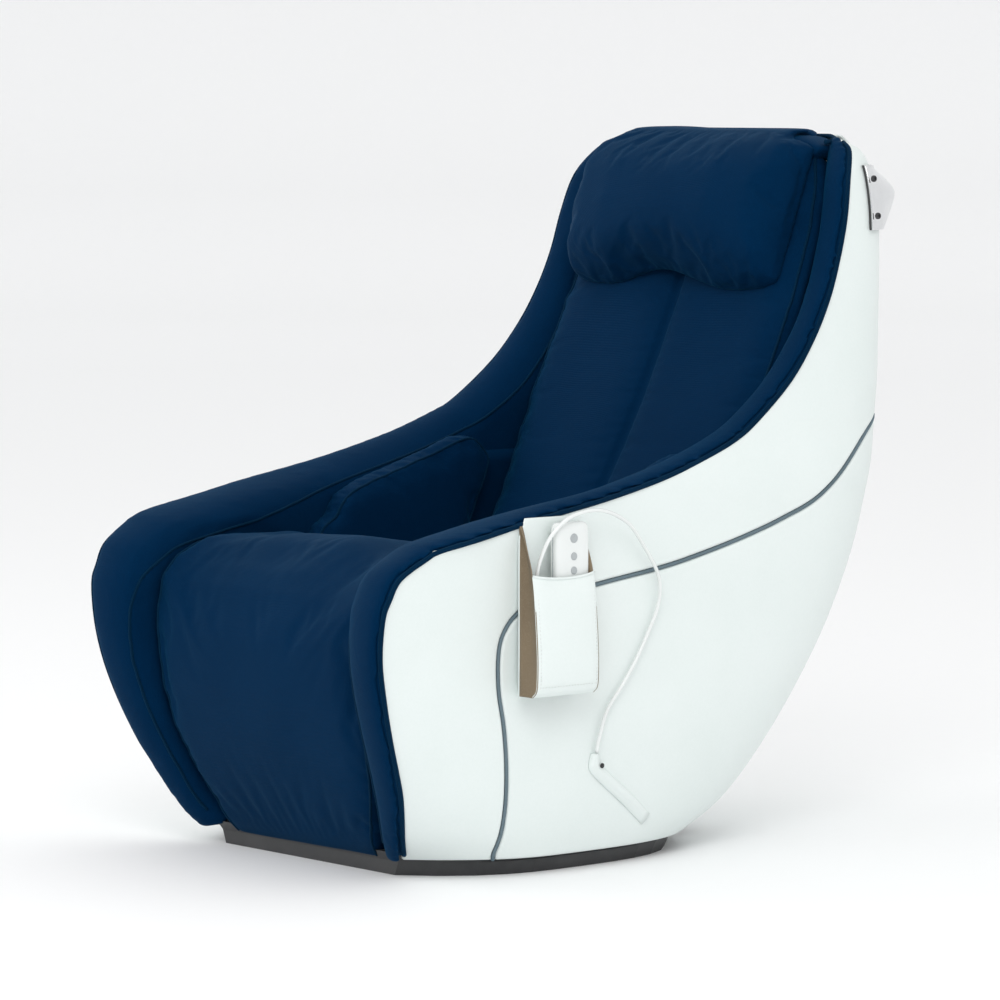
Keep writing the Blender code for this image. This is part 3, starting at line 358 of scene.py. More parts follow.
def joined(name, pieces):
    """Several pieces made one."""
    shape = bmesh.new()
    for piece in pieces:
        finished_mesh(piece)
        shape.from_mesh(piece.data)
        bpy.data.objects.remove(piece)
    return from_bmesh(shape, name, normals=False)


# ---------------------------------------------------------------- materials
def add(tree, kind, inputs=(), **settings):
    """A shader node with its settings; an input is a value or another node's output."""
    made = tree.nodes.new(kind)
    for key, value in settings.items():
        setattr(made, key, value)
    for socket, value in dict(inputs).items():
        if isinstance(value, bpy.types.NodeSocket):
            tree.links.new(value, made.inputs[socket])
        else:
            made.inputs[socket].default_value = value
    return made


def finish_base(name, **sockets):
    made = bpy.data.materials.new(name)
    made.use_nodes = True
    tree = made.node_tree
    shader = tree.nodes["Principled BSDF"]
    for socket, value in sockets.items():
        shader.inputs[socket.replace("_", " ")].default_value = value
    place = add(tree, "ShaderNodeTexCoord").outputs["Object"]
    return made, tree, shader, place


def spread_of(tree, value, low, high, to_low, to_high):
    """A value carried from one range to another."""
    return add(tree, "ShaderNodeMapRange", {"Value": value, "From Min": low, "From Max": high,
                                            "To Min": to_low, "To Max": to_high}).outputs["Result"]


def noise_of(tree, place, scale, detail=3.0, rough=0.5):
    return add(tree, "ShaderNodeTexNoise", {"Vector": place, "Scale": scale, "Detail": detail,
                                            "Roughness": rough}).outputs["Fac"]


def mixed_color(tree, factor, first, second):
    mix = add(tree, "ShaderNodeMix", data_type="RGBA")
    for socket, value in ((0, factor), (6, first), (7, second)):
        if isinstance(value, bpy.types.NodeSocket):
            tree.links.new(value, mix.inputs[socket])
        else:
            mix.inputs[socket].default_value = value if socket == 0 else (*value, 1.0)
    return mix.outputs[2]


def bumped(tree, shader, height, distance, strength=1.0):
    bump = add(tree, "ShaderNodeBump", {"Height": height, "Distance": distance, "Strength": strength})
    tree.links.new(bump.outputs["Normal"], shader.inputs["Normal"])


def math_of(tree, operation, first, second=0.5):
    return add(tree, "ShaderNodeMath", {0: first, 1: second}, operation=operation).outputs[0]


def leather(name, color, shade, grain_depth, roughness):
    """Smooth leatherette: pebble grain, faint mottling and slightly uneven gloss."""
    made, tree, shader, place = finish_base(name, Specular_IOR_Level=0.45, Coat_Weight=0.06,
                                            Coat_Roughness=0.35)
    cloud = noise_of(tree, place, 7.0, 4.0)
    fine = noise_of(tree, place, 260.0, 2.0)
    both = math_of(tree, "ADD", cloud, math_of(tree, "MULTIPLY", fine, 0.5))
    tint = spread_of(tree, both, 0.5, 1.0, 0.0, 1.0)
    tree.links.new(mixed_color(tree, tint, color, shade), shader.inputs["Base Color"])
    cells = add(tree, "ShaderNodeTexVoronoi", {"Vector": place, "Scale": 620.0, "Randomness": 0.9},
                feature="DISTANCE_TO_EDGE").outputs["Distance"]
    valleys = spread_of(tree, cells, 0.0, 0.16, 0.0, 1.0)
    height = math_of(tree, "ADD", valleys, math_of(tree, "MULTIPLY", fine, 0.6))
    bumped(tree, shader, height, grain_depth)
    tree.links.new(spread_of(tree, cloud, 0.3, 0.7, roughness - 0.05, roughness + 0.06),
                   shader.inputs["Roughness"])
    return made


THREAD = 0.00075                # spacing of the upholstery's threads


def woven(name, color, light, dark):
    """Dense woven upholstery: fine crossing threads, flecks, soft nap and lighter worn edges."""
    made, tree, shader, place = finish_base(name, Roughness=0.82, Sheen_Weight=0.09, Sheen_Roughness=0.40,
                                            Specular_IOR_Level=0.12)
    shader.inputs["Sheen Tint"].default_value = (0.03, 0.42, 0.80, 1.0)
    shader.inputs["Specular Tint"].default_value = (0.04, 0.45, 0.85, 1.0)
    turns = add(tree, "ShaderNodeVectorMath", {0: place, 1: (math.pi / THREAD,) * 3}, operation="MULTIPLY")
    waves = add(tree, "ShaderNodeVectorMath", {0: turns.outputs[0]}, operation="SINE")
    weave = add(tree, "ShaderNodeVectorMath", {0: waves.outputs[0], 1: (0.33, 0.33, 0.33)},
                operation="DOT_PRODUCT").outputs["Value"]
    fleck = noise_of(tree, place, 900.0, 2.0, 0.7)
    cloud = noise_of(tree, place, 5.0, 3.0)
    worn = add(tree, "ShaderNodeNewGeometry").outputs["Pointiness"]
    body = mixed_color(tree, spread_of(tree, cloud, 0.32, 0.68, 0.0, 1.0), dark, color)
    flecked = mixed_color(tree, spread_of(tree, fleck, 0.52, 0.72, 0.0, 0.45), body, light)
    edged = mixed_color(tree, spread_of(tree, worn, 0.52, 0.60, 0.0, 0.30), flecked, light)
    tree.links.new(edged, shader.inputs["Base Color"])
    height = math_of(tree, "ADD", spread_of(tree, weave, -1.0, 1.0, 0.0, 1.0),
                     math_of(tree, "MULTIPLY", fleck, 0.7))
    bumped(tree, shader, height, 0.00022)
    return made


def moulded(name, color, roughness, texture=0.00005, scale=900.0, **sockets):
    """Moulded plastic or rubber: fine spark texture, faint dust and scuffed edges."""
    made, tree, shader, place = finish_base(name, **sockets)
    grain = noise_of(tree, place, scale, 2.0, 0.6)
    cloud = noise_of(tree, place, 18.0, 5.0, 0.65)
    worn = add(tree, "ShaderNodeNewGeometry").outputs["Pointiness"]
    pale = tuple(c + (0.5 - c) * 0.10 for c in color)
    dusty = mixed_color(tree, spread_of(tree, cloud, 0.45, 0.75, 0.0, 0.6), color, pale)
    edged = mixed_color(tree, spread_of(tree, worn, 0.53, 0.62, 0.0, 0.6), dusty, pale)
    tree.links.new(edged, shader.inputs["Base Color"])
    tree.links.new(spread_of(tree, cloud, 0.3, 0.7, roughness - 0.05, roughness + 0.08),
                   shader.inputs["Roughness"])
    bumped(tree, shader, grain, texture)
    return made


def metal(name, color, roughness, stretch=(1, 1, 1), scratch=0.05):
    """Metal with drawn or polished marks and uneven gloss."""
    made, tree, shader, place = finish_base(name, Metallic=1.0)
    pulled = add(tree, "ShaderNodeMapping", {"Vector": place, "Scale": stretch}).outputs[0]
    marks = noise_of(tree, pulled, 300.0, 3.0, 0.6)
    cloud = noise_of(tree, place, 25.0, 3.0)
    dim = tuple(c * 0.86 for c in color)
    tree.links.new(mixed_color(tree, cloud, color, dim), shader.inputs["Base Color"])
    both = math_of(tree, "ADD", math_of(tree, "MULTIPLY", marks, 0.6), math_of(tree, "MULTIPLY", cloud, 0.4))
    tree.links.new(spread_of(tree, both, 0.35, 0.65, roughness, roughness + scratch),
                   shader.inputs["Roughness"])
    bumped(tree, shader, marks, 0.00001)
    return made


WHITE = leather("white_leatherette", (0.80, 0.86, 0.845), (0.765, 0.83, 0.812), 0.00006, 0.46)
NAVY = woven("navy_fabric", (0.0008, 0.0165, 0.0540), (0.0020, 0.0300, 0.0850), (0.0006, 0.0140, 0.0470))
PIPING = woven("grey_piping", (0.140, 0.185, 0.210), (0.20, 0.26, 0.29), (0.11, 0.15, 0.17))
DARK_PIPING = woven("navy_piping", (0.0018, 0.0150, 0.0400), (0.005, 0.030, 0.070), (0.0012, 0.0110, 0.0300))
# The pouch gussets' tan is partly the lining's own colour and partly painted shade, darkened to stand for the
# soft shadow at the pouch's side.
LINING_AND_PAINTED_SHADE = woven("tan_lining_painted_shade", (0.225, 0.172, 0.112), (0.36, 0.30, 0.22), (0.15, 0.112, 0.072))
BLACK = moulded("black_plastic", (0.014, 0.015, 0.017), 0.48)
STEEL = moulded("painted_steel", (0.030, 0.031, 0.034), 0.42, 0.00003, 500.0, Metallic=0.2)
BARE = metal("bare_steel", (0.56, 0.56, 0.57), 0.26, (1, 1, 0.1))
CHROME = metal("chrome", (0.80, 0.81, 0.82), 0.07, scratch=0.05)
RUBBER = moulded("rubber", (0.018, 0.018, 0.019), 0.78, 0.00012, 420.0)
NYLON = moulded("nylon", (0.66, 0.65, 0.58), 0.46, 0.00004)
KEYS = moulded("grey_plastic", (0.42, 0.45, 0.46), 0.5)
GLOSS = moulded("white_gloss_plastic", (0.80, 0.83, 0.82), 0.20, 0.000005, Coat_Weight=0.3,
                Coat_Roughness=0.08)
BY_SLOT = {m.name: m for m in (WHITE, NAVY, PIPING, BLACK, STEEL, BARE, CHROME, RUBBER, NYLON, KEYS, GLOSS)}


def paint_frame():
    """Every CAD node takes the finish of its slot, with shading that keeps its edges crisp."""
    for subpart in frame["record"]["subparts"]:
        mesh = frame["nodes"][subpart["node"]].data
        mesh.materials.clear()
        mesh.materials.append(BY_SLOT[subpart["material_slot"]])
        mesh.shade_smooth()
        mesh.set_sharp_from_angle(angle=math.radians(30))


# ---------------------------------------------------------------- camera, light and floor
def camera():
    made = bpy.data.objects.new("camera", bpy.data.cameras.new("camera"))
    made.data.lens = 180.0
    made.data.sensor_width = 36.0
    made.data.clip_end = 100.0
    made.location = (5.130, -4.330, 1.003)
    aim = Vector((0.0, -0.025, 0.454)) - made.location
    made.rotation_euler = aim.to_track_quat("-Z", "Y").to_euler()
    bpy.context.scene.collection.objects.link(made)
    bpy.context.scene.camera = made


def area_light(name, spot, target, size, power):
    lamp = bpy.data.lights.new(name, "AREA")
    lamp.shape = "DISK"
    lamp.size = size
    lamp.energy = power
    made = bpy.data.objects.new(name, lamp)
    made.location = spot
    made.rotation_euler = (Vector(target) - Vector(spot)).to_track_quat("-Z", "Y").to_euler()
    bpy.context.scene.collection.objects.link(made)


TURN_96 = [2 * math.pi * k / 96 for k in range(96)]


def studio():
    """A pale floor that curves up far away, under a bright even sky, with a broad key and a low fill."""
    world = bpy.data.worlds.new("studio")
    world.use_nodes = True
    background = world.node_tree.nodes["Background"]
    background.inputs["Color"].default_value = (1.0, 1.0, 1.0, 1.0)
    background.inputs["Strength"].default_value = 0.92
    bpy.context.scene.world = world
    bpy.context.scene.view_settings.view_transform = "Standard"
    area_light("key", (3.2, -3.0, 3.6), (0.0, 0.0, 0.4), 2.6, 72.0)
    area_light("fill", (-3.5, -3.0, 2.0), (0.0, 0.0, 0.4), 2.5, 30.0)
    rings = [[(0.01 * math.cos(a), 0.01 * math.sin(a), 0.0) for a in TURN_96]]
    for radius, height in ((9.0, 0.0), (11.0, 0.0), (12.0, 0.15), (12.7, 0.60), (13.1, 1.40), (13.3, 4.0)):
        rings.append([(radius * math.cos(a), radius * math.sin(a), height) for a in TURN_96])
    floor = loft("floor", rings, capped=False)
    made, tree, shader, place = finish_base("pale_floor", Specular_IOR_Level=0.2)
    speckle = noise_of(tree, place, 40.0, 4.0)
    tree.links.new(mixed_color(tree, speckle, (0.95, 0.955, 0.96), (0.965, 0.97, 0.975)),
                   shader.inputs["Base Color"])
    shader.inputs["Roughness"].default_value = 0.7
    floor.data.materials.append(made)


# ---------------------------------------------------------------- the remote's lead
def remote_cord():
    """The lead from the cable guide, over the pouch in a loose arch and down inside to the remote."""
    route = evenly(smooth_line(CORD_ROUTE, 8), 0.004)
    cord = tube("cord", route, CORD_RADIUS, 14)
    cord.data.materials.append(GLOSS)
    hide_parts("remote_cord")
    return cord, route


# ---------------------------------------------------------------- shell panels
PANEL_TOP = 0.9390              # height of the panels' upper edge
EDGE_RINGS = (0.0007, 0.0016, 0.0028, 0.0045, 0.0070, 0.0100)
PANEL_PITCH = 0.012             # spacing of a panel's points, away from its edges
EDGE_ROLL = 0.0045              # radius of the covering where it turns in at a panel's edge


def inside(spot, loop):
    """Whether a flat point is inside a closed line."""
    hit = False
    for a, b in zip(loop, loop[1:] + loop[:1]):
        if (a.y > spot.y) != (b.y > spot.y) and spot.x < a.x + (b.x - a.x) * (spot.y - a.y) / (b.y - a.y):
            hit = not hit
    return hit


def near_tree(points):
    tree = KDTree(len(points))
    for i, spot in enumerate(points):
        tree.insert((*spot, 0.0)[:3], i)
    tree.balance()
    return tree


def panel(name, loop, point_at, holes=()):
    """A padded skin inside a closed line on the body; its edge turns inwards all round."""
    border = [Vector(p) for p in loop]
    spots = list(border)
    edge_tree = near_tree(border + [p for hole in holes for p in hole])
    for distance in EDGE_RINGS:
        for i, spot in enumerate(border):
            along = border[(i + 1) % len(border)] - border[i - 1]
            if along.length < 1e-6:
                continue
            inward = Vector((-along.y, along.x)).normalized() * distance
            moved = spot + inward
            if edge_tree.find((*moved, 0.0))[2] > 0.9 * distance and inside(moved, border):
                spots.append(moved)
    low_u, high_u = min(p.x for p in border), max(p.x for p in border)
    low_v, high_v = min(p.y for p in border), max(p.y for p in border)
    columns = int((high_u - low_u) / PANEL_PITCH)
    rows = int((high_v - low_v) / (PANEL_PITCH * 0.866))
    for r in range(rows + 1):
        for c in range(columns + 1):
            spot = Vector((low_u + (c + 0.5 * (r % 2)) * PANEL_PITCH, low_v + r * PANEL_PITCH * 0.866))
            clear = edge_tree.find((*spot, 0.0))[2] > EDGE_RINGS[-1] + 0.4 * PANEL_PITCH
            if clear and inside(spot, border):
                spots.append(spot)
    count = len(border)
    edges = [(i, (i + 1) % count) for i in range(count)]
    for hole in holes:
        start = len(spots)
        spots += hole
        edges += [(start + i, start + (i + 1) % len(hole)) for i in range(len(hole))]
    flat, _, faces, _, _, _ = delaunay_2d_cdt(spots, edges, [], 1, 1e-6)
    rim = [point_at(p.x, p.y) for p in flat]
    solid_edge = [point_at(p.x, p.y) for p in evenly(border + border[:1], 0.0025)]
    edge_tree = near_tree(solid_edge)
    shape = bmesh.new()
    for place, spot in zip(flat, rim):
        step = 0.0015
        across = point_at(place.x + step, place.y) - point_at(place.x - step, place.y)
        height = min(max(place.y, FLOOR_EDGE + step), 0.9395 - step)
        upward = point_at(place.x, height + step) - point_at(place.x, height - step)
        outward = across.cross(upward).normalized()
        _, nearest, _ = edge_tree.find(spot)
        a, b = solid_edge[nearest - 1], solid_edge[(nearest + 1) % len(solid_edge)]
        middle = solid_edge[nearest]
        distance = min(to_segment(spot, a, middle), to_segment(spot, middle, b))
        sunk = EDGE_ROLL - math.sqrt(max(0.0, EDGE_ROLL ** 2 - max(0.0, EDGE_ROLL - distance) ** 2))
        shape.verts.new(spot - outward * sunk)
    shape.verts.ensure_lookup_table()
    for face in faces:
        middle = sum((flat[i] for i in face), Vector((0.0, 0.0))) / 3
        if not any(inside(middle, hole) for hole in holes):
            shape.faces.new([shape.verts[i] for i in face])
    made = from_bmesh(shape, name, normals=False)
    modifier(made, "SOLIDIFY", thickness=0.003, offset=-1.0)
    return finished_mesh(made)


def to_segment(spot, a, b):
    along = b - a
    if along.length_squared < 1e-14:
        return (spot - a).length
    t = min(1.0, max(0.0, (spot - a).dot(along) / along.length_squared))
    return (spot - a - along * t).length


def rim_line(spans=4):
    """The rim rows on a smooth curve, from the floor to the top of the back."""
    return smooth_line([*RIM, RIM_END], spans)


def split_place(height, gap):
    """Where the side panels end at the rear cover."""
    x = BACK_SPLIT + gap
    return side_place(plan_back(x, height), height)


def seam_on_side(offset):
    """The side seam from the rear cover forward and down to the floor, as places on the side."""
    line = offset_line([Vector(p) for p in smooth_line(SEAM, 6)], offset)
    places = []
    for spot in line:
        if spot.y < FLOOR_EDGE:
            break
        if spot.x > plan_back(BACK_SPLIT + SEAM_HALF, spot.y):
            continue
        places.append(side_place(spot.x, spot.y))
    start = places[0]
    places.insert(0, split_place(start.y + 0.004, SEAM_HALF))
    places.append(Vector((places[-1].x, FLOOR_EDGE)))
    return evenly(places, 0.006)


def side_panels():
    """The upper and front panel and the lower rear panel of each side, and the welt between them."""
    front_seam, rear_seam = seam_on_side(-SEAM_HALF), seam_on_side(SEAM_HALF)
    rim = [side_place(y, z) for _, y, z, _, _ in rim_line()]
    rim = [p for p in rim if p.y < PANEL_TOP]
    low_rear = split_place(FLOOR_EDGE, SEAM_HALF)
    edge = [Vector((rim[0].x, FLOOR_EDGE))]
    split_top = [split_place(z, SEAM_HALF) for z in np.arange(front_seam[0].y, PANEL_TOP, 0.006)]
    front = front_seam[::-1] + split_top + [split_place(PANEL_TOP, SEAM_HALF)] + rim[::-1] + edge
    split_low = [split_place(z, SEAM_HALF) for z in np.arange(FLOOR_EDGE, rear_seam[0].y, 0.006)]
    floor_run = evenly([rear_seam[-1], low_rear], 0.006)
    rear = rear_seam + floor_run[1:-1] + split_low
    welt = seam_on_side(0.0)
    for name, loop in (("front", front), ("rear", rear)):
        loop = tidy_loop(loop)
        left = panel(f"side_skin_{name}_left", loop, side_point)
        right = mirrored(left, f"side_skin_{name}_right")
        for side, piece in (("left", left), ("right", right)):
            dress(piece, WHITE, "root", [f"side_panel_{name}_{side}"])
    line = [sunk_point(side_point, p, 0.0018) for p in welt]
    for side, sign in SIDES:
        piece = tube("welt_" + side, [(sign * p.x, p.y, p.z) for p in line], 0.0024, 10)
        dress(piece, PIPING, "root", ["seam_piping_" + side])


def sunk_point(point_at, place, depth):
    step = 0.0015
    across = point_at(place.x + step, place.y) - point_at(place.x - step, place.y)
    upward = point_at(place.x, place.y + step) - point_at(place.x, place.y - step)
    return point_at(place.x, place.y) - across.cross(upward).normalized() * depth


def tidy_loop(loop):
    """A closed line, anticlockwise, with no two points in one place."""
    kept = []
    for spot in evenly(loop + loop[:1], 0.005)[:-1]:
        if not kept or (spot - kept[-1]).length > 0.002:
            kept.append(spot)
    area = sum(a.x * b.y - b.x * a.y for a, b in zip(kept, kept[1:] + kept[:1]))
    return kept if area > 0 else kept[::-1]


def rectangle(x, z, wide, tall):
    return [Vector((x + a * wide / 2, z + b * tall / 2)) for a, b in ((-1, -1), (1, -1), (1, 1), (-1, 1))]


VENT_HEIGHTS = [0.380 + 0.014 * i for i in range(6)]


def rear_cover():
    """The rear cover between the side panels, with cooling slots, an inlet and two wheel notches."""
    half = BACK_SPLIT - SEAM_HALF
    well_x, well_half, well_top = 0.125, 0.025, 0.060
    low = []
    for sign in (-1, 1):
        corners = [(sign * well_x - well_half, FLOOR_EDGE), (sign * well_x - well_half, well_top),
                   (sign * well_x + well_half, well_top), (sign * well_x + well_half, FLOOR_EDGE)]
        low += [Vector(p) for p in corners]
    loop = [Vector((-half, FLOOR_EDGE)), *low, Vector((half, FLOOR_EDGE)), Vector((half, PANEL_TOP)),
            Vector((-half, PANEL_TOP))]
    slots = [rectangle(0.0, z, 0.120, 0.006) for z in VENT_HEIGHTS]
    inlet_low, inlet_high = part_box("power_inlet")
    inlet = rectangle((inlet_low.x + inlet_high.x) / 2, (inlet_low.z + inlet_high.z) / 2,
                      inlet_high.x - inlet_low.x + 0.0016, inlet_high.z - inlet_low.z + 0.0016)
    holes = [evenly(hole + hole[:1], 0.004)[:-1] for hole in slots + [inlet]]
    skin = panel("rear_skin", tidy_loop(loop), back_point, holes)
    dress(skin, WHITE, "root", ["rear_cover"])
    for side, sign in SIDES:
        heights = np.arange(0.024, 0.936, 0.008)
        line = [(sign * BACK_SPLIT, plan_back(BACK_SPLIT, z) - 0.0018, z) for z in heights]
        dress(tube("rear_welt_" + side, line, 0.0022, 10), PIPING)
    frames = []
    for z in VENT_HEIGHTS:
        line = [(x, plan_back(x, z) + 0.0004, z) for x in np.linspace(-0.0615, 0.0615, 24)]
        for shift in (-0.0042, 0.0042):
            frames.append(tube("slot_lip", [(x, y, z + shift) for x, y, z in line], 0.0014, 8))
    dress(joined("vent_lips", frames), BLACK)
    backing = []
    for z in np.linspace(0.372, 0.458, 14):
        backing.append([(x, plan_back(x, z) - 0.010, z) for x in np.linspace(-0.066, 0.066, 12)])
    mesh = loft("vent_mesh", backing, closed=False, capped=False)
    modifier(mesh, "SOLIDIFY", thickness=0.001, offset=-1.0)
    dress(mesh, BLACK)


# ---------------------------------------------------------------- stuffed upholstery
def coordinates(piece):
    flat = np.empty(len(piece.data.vertices) * 3)
    piece.data.vertices.foreach_get("co", flat)
    return flat.reshape(-1, 3)


def set_coordinates(piece, spots):
    piece.data.vertices.foreach_set("co", spots.ravel())
    piece.data.update()


def normals_of(piece):
    flat = np.empty(len(piece.data.vertices) * 3)
    piece.data.vertex_normals.foreach_get("vector", flat)
    return flat.reshape(-1, 3)


def remeshed(piece, voxel, rounds):
    """An even mesh over a solid, with its corners softened."""
    modifier(piece, "REMESH", mode="VOXEL", voxel_size=voxel)
    modifier(piece, "SMOOTH", factor=0.5, iterations=rounds)
    finished_mesh(piece)
    piece.data.shade_smooth()
    return piece


def line_distance(spots, line):
    """How far each place is from a line."""
    line = evenly(line, 0.002)
    tree = KDTree(len(line))
    for i, spot in enumerate(line):
        tree.insert(spot, i)
    tree.balance()
    return np.array([tree.find(spot)[2] for spot in spots])


STUFFING_FRAMES = 16


def stuff(piece, cap, held, pressure, shrink=0.0):
    """Fill a pad: its cover swells under pressure by at most the cap, and stays where it is held."""
    rest = coordinates(piece)
    group = piece.vertex_groups.new(name="held")
    for i, weight in enumerate(held):
        if weight > 0.01:
            group.add([i], float(min(1.0, weight)), "REPLACE")
    cloth = modifier(piece, "CLOTH")
    cloth.settings.quality = 5
    cloth.settings.mass = 0.3
    cloth.settings.use_pressure = True
    cloth.settings.uniform_pressure_force = pressure
    cloth.settings.shrink_min = -shrink
    cloth.settings.vertex_group_mass = "held"
    cloth.settings.effector_weights.gravity = 0.0
    cloth.collision_settings.use_collision = False
    cloth.point_cache.frame_start = 1
    cloth.point_cache.frame_end = STUFFING_FRAMES
    for frame_number in range(1, STUFFING_FRAMES + 1):
        bpy.context.scene.frame_set(frame_number)
    finished_mesh(piece)
    bpy.context.scene.frame_set(1)
    piece.vertex_groups.clear()
    moved = coordinates(piece) - rest
    reach = np.linalg.norm(moved, axis=1)
    limit = np.minimum(reach, cap * np.tanh(reach / cap))
    set_coordinates(piece, rest + moved * (limit / np.maximum(reach, 1e-9))[:, None])
    return piece


def refined(piece, levels=1):
    modifier(piece, "SUBSURF", levels=levels, render_levels=levels)
    finished_mesh(piece)
    piece.data.shade_smooth()
    return piece


def sewn(piece, line, width, depth):
    """Pull the cover in along a seam."""
    spots = coordinates(piece)
    share = np.clip(1.0 - (line_distance(spots, line) / width) ** 2, 0.0, 1.0) ** 2
    set_coordinates(piece, spots - normals_of(piece) * (share * depth)[:, None])
    return piece


def rumpled(piece, height, scale, seed, stretch=(1.0, 1.0, 1.0)):
    """Soft uneven filling under a cover, longer along the axes with a small stretch."""
    spots = coordinates(piece)
    shift = Vector((seed * 7.3, seed * 3.1, seed * 5.7))
    way = Vector(stretch) * scale
    lift = np.array([noise.noise(Vector(s) * way + shift) for s in spots])
    set_coordinates(piece, spots + normals_of(piece) * (lift * height)[:, None])
    return piece


def laid_on(piece, line, lift):
    """A line moved to the surface of a piece and lifted off it a little."""
    corners = [v.co for v in piece.data.vertices]
    tree = BVHTree.FromPolygons(corners, [p.vertices for p in piece.data.polygons])
    result = []
    for spot in line:
        hit, normal, _, _ = tree.find_nearest(Vector(spot))
        result.append(hit + normal * lift)
    return result


def welt_on(piece, name, line, radius, lift):
    """A corded seam lying on a piece."""
    laid = laid_on(piece, evenly(line, 0.006), lift)
    soft = [laid[0]] + [(a + b * 2 + c) / 4 for a, b, c in zip(laid, laid[1:], laid[2:])] + [laid[-1]]
    return dress(tube(name, soft, radius, 8), DARK_PIPING)


ROLL_SECTION = (                # across the padded rim: inward share, rise above the shell edge
    (0.00, 0.0010), (0.03, 0.0060), (0.14, 0.0098), (0.38, 0.0105), (0.62, 0.0068),
    (0.84, -0.0026), (0.97, -0.0160),
)


def rim_frames():
    """Each rim row with the direction square to the rim, in the YZ plane."""
    rows = rim_line(3)
    spots = [Vector((y, z)) for _, y, z, _, _ in rows]
    for i, row in enumerate(rows):
        along = (spots[min(i + 1, len(spots) - 1)] - spots[max(i - 1, 0)]).normalized()
        yield row, Vector((-along.y, along.x))


def roll_rings(sign):
    """Rings of the padded rim; beside the seat its inner face runs down as the tub's lining."""
    rings = []
    for (x, y, z, width, drop), normal in rim_frames():
        lining = 0.075 * smooth_share(y, -0.30, -0.20) * (1.0 - 0.7 * smooth_share(y, 0.20, 0.30))
        floor = min(-drop - 0.024 - lining, -0.034)
        section = [(x - share * width, rise if share < 0.9 else min(rise, -drop * 0.62))
                   for share, rise in ROLL_SECTION]
        section += [(x - width, -drop), (x - width, (floor - drop) / 2), (x - width, floor),
                    (x - max(0.026, width * 0.5), floor), (x - 0.026, -0.030), (x - 0.018, -0.006),
                    (x - 0.012, 0.0)]
        rings.append([Vector((sign * across, y + normal.x * out, z + normal.y * out))
                      for across, out in section])
    return rings


def smooth_share(value, start, end):
    t = min(1.0, max(0.0, (value - start) / (end - start)))
    return t * t * (3 - 2 * t)


def arm_rolls():
    """The padded rim of each side: stuffed, corded along the shell and along its inner edge."""
    roll = remeshed(loft("arm_roll_soft_left", roll_rings(1)), 0.0068, 4)
    spots = coordinates(roll)
    outer = [Vector(row[:3]) for row in rim_line(4)]
    close = line_distance(spots, outer)
    held = np.clip(1.4 - close / 0.012, 0.0, 1.0)
    stuff(roll, 0.005, held, 3.0)
    refined(roll)
    rumpled(roll, 0.0016, 16.0, 3, (1.0, 0.5, 0.5))
    lowered(roll, 0.010)
    right = mirrored(roll, "arm_roll_soft_right")
    inner = [Vector((x - width + 0.002, y, z - drop * 0.9)) for x, y, z, width, drop in rim_line(4)][4:]
    for side, sign, piece in (("left", 1, roll), ("right", -1, right)):
        dress(piece, NAVY, "root", ["arm_roll_" + side])
        edge = [Vector((sign * (x + 0.0005), y, z)) for x, y, z, _, _ in rim_line(4)]
        dress(tube("rim_welt_" + side, evenly(edge, 0.005), 0.0032, 12), DARK_PIPING)
        welt_on(piece, "inner_welt_" + side, [Vector((sign * p.x, p.y, p.z)) for p in inner], 0.0020, 0.0002)


def rim_tape():
    """The navy tape that the padded rim is sewn to, tucked under the shell's edge all along it."""
    for side, sign in SIDES:
        rings = []
        for (x, y, z, width, drop), normal in rim_frames():
            section = ((0.0004, -0.0030), (-0.0040, 0.0006), (-0.0140, 0.0030),
                       (-width * 0.55, -drop * 0.5 - 0.003))
            rings.append([(sign * (x + across), y + normal.x * out, z + normal.y * out)
                          for across, out in section])
        tape = loft("rim_tape_" + side, rings, closed=False, capped=False)
        modifier(tape, "SOLIDIFY", thickness=0.0012, offset=0.0)
        dress(tape, NAVY)


def tub_lining():
    """Flat navy linings inside the tub, behind the wall pads and beside the back pad's foot."""
    for side, sign in SIDES:
        rows = []
        for z in np.linspace(0.330, 0.500, 11):
            rear = 0.295 + 0.15 * (z - 0.330)
            rows.append([(sign * 0.2375, y, z) for y in np.linspace(0.060, rear, 14)])
        lining = loft("tub_lining_" + side, rows, closed=False, capped=False)
        modifier(lining, "SOLIDIFY", thickness=0.0015, offset=0.0)
        dress(lining, NAVY)


def lowered(piece, drop):
    """Carry the foot of a front pad down over the edge of the base."""
    spots = coordinates(piece)
    for i, (_, y, z) in enumerate(spots):
        spots[i][2] -= drop * (1.0 - smooth_share(z, 0.020, 0.100)) * (1.0 - smooth_share(y, -0.30, -0.25))
    set_coordinates(piece, spots)


def arc_point(radius, angle):
    return ARC_Y + radius * math.cos(angle), ARC_Z - radius * math.sin(angle)


def pad_front(x, height):
    """A point on the front face of the back pad."""
    y, z = arc_point(PAD_RADIUS, math.asin((ARC_Z - height) / PAD_RADIUS))
    return Vector((x, y, z))


def copied(name, node):
    """A new piece with the shape of a CAD node."""
    return new_piece(name, frame["nodes"][node].data.copy())


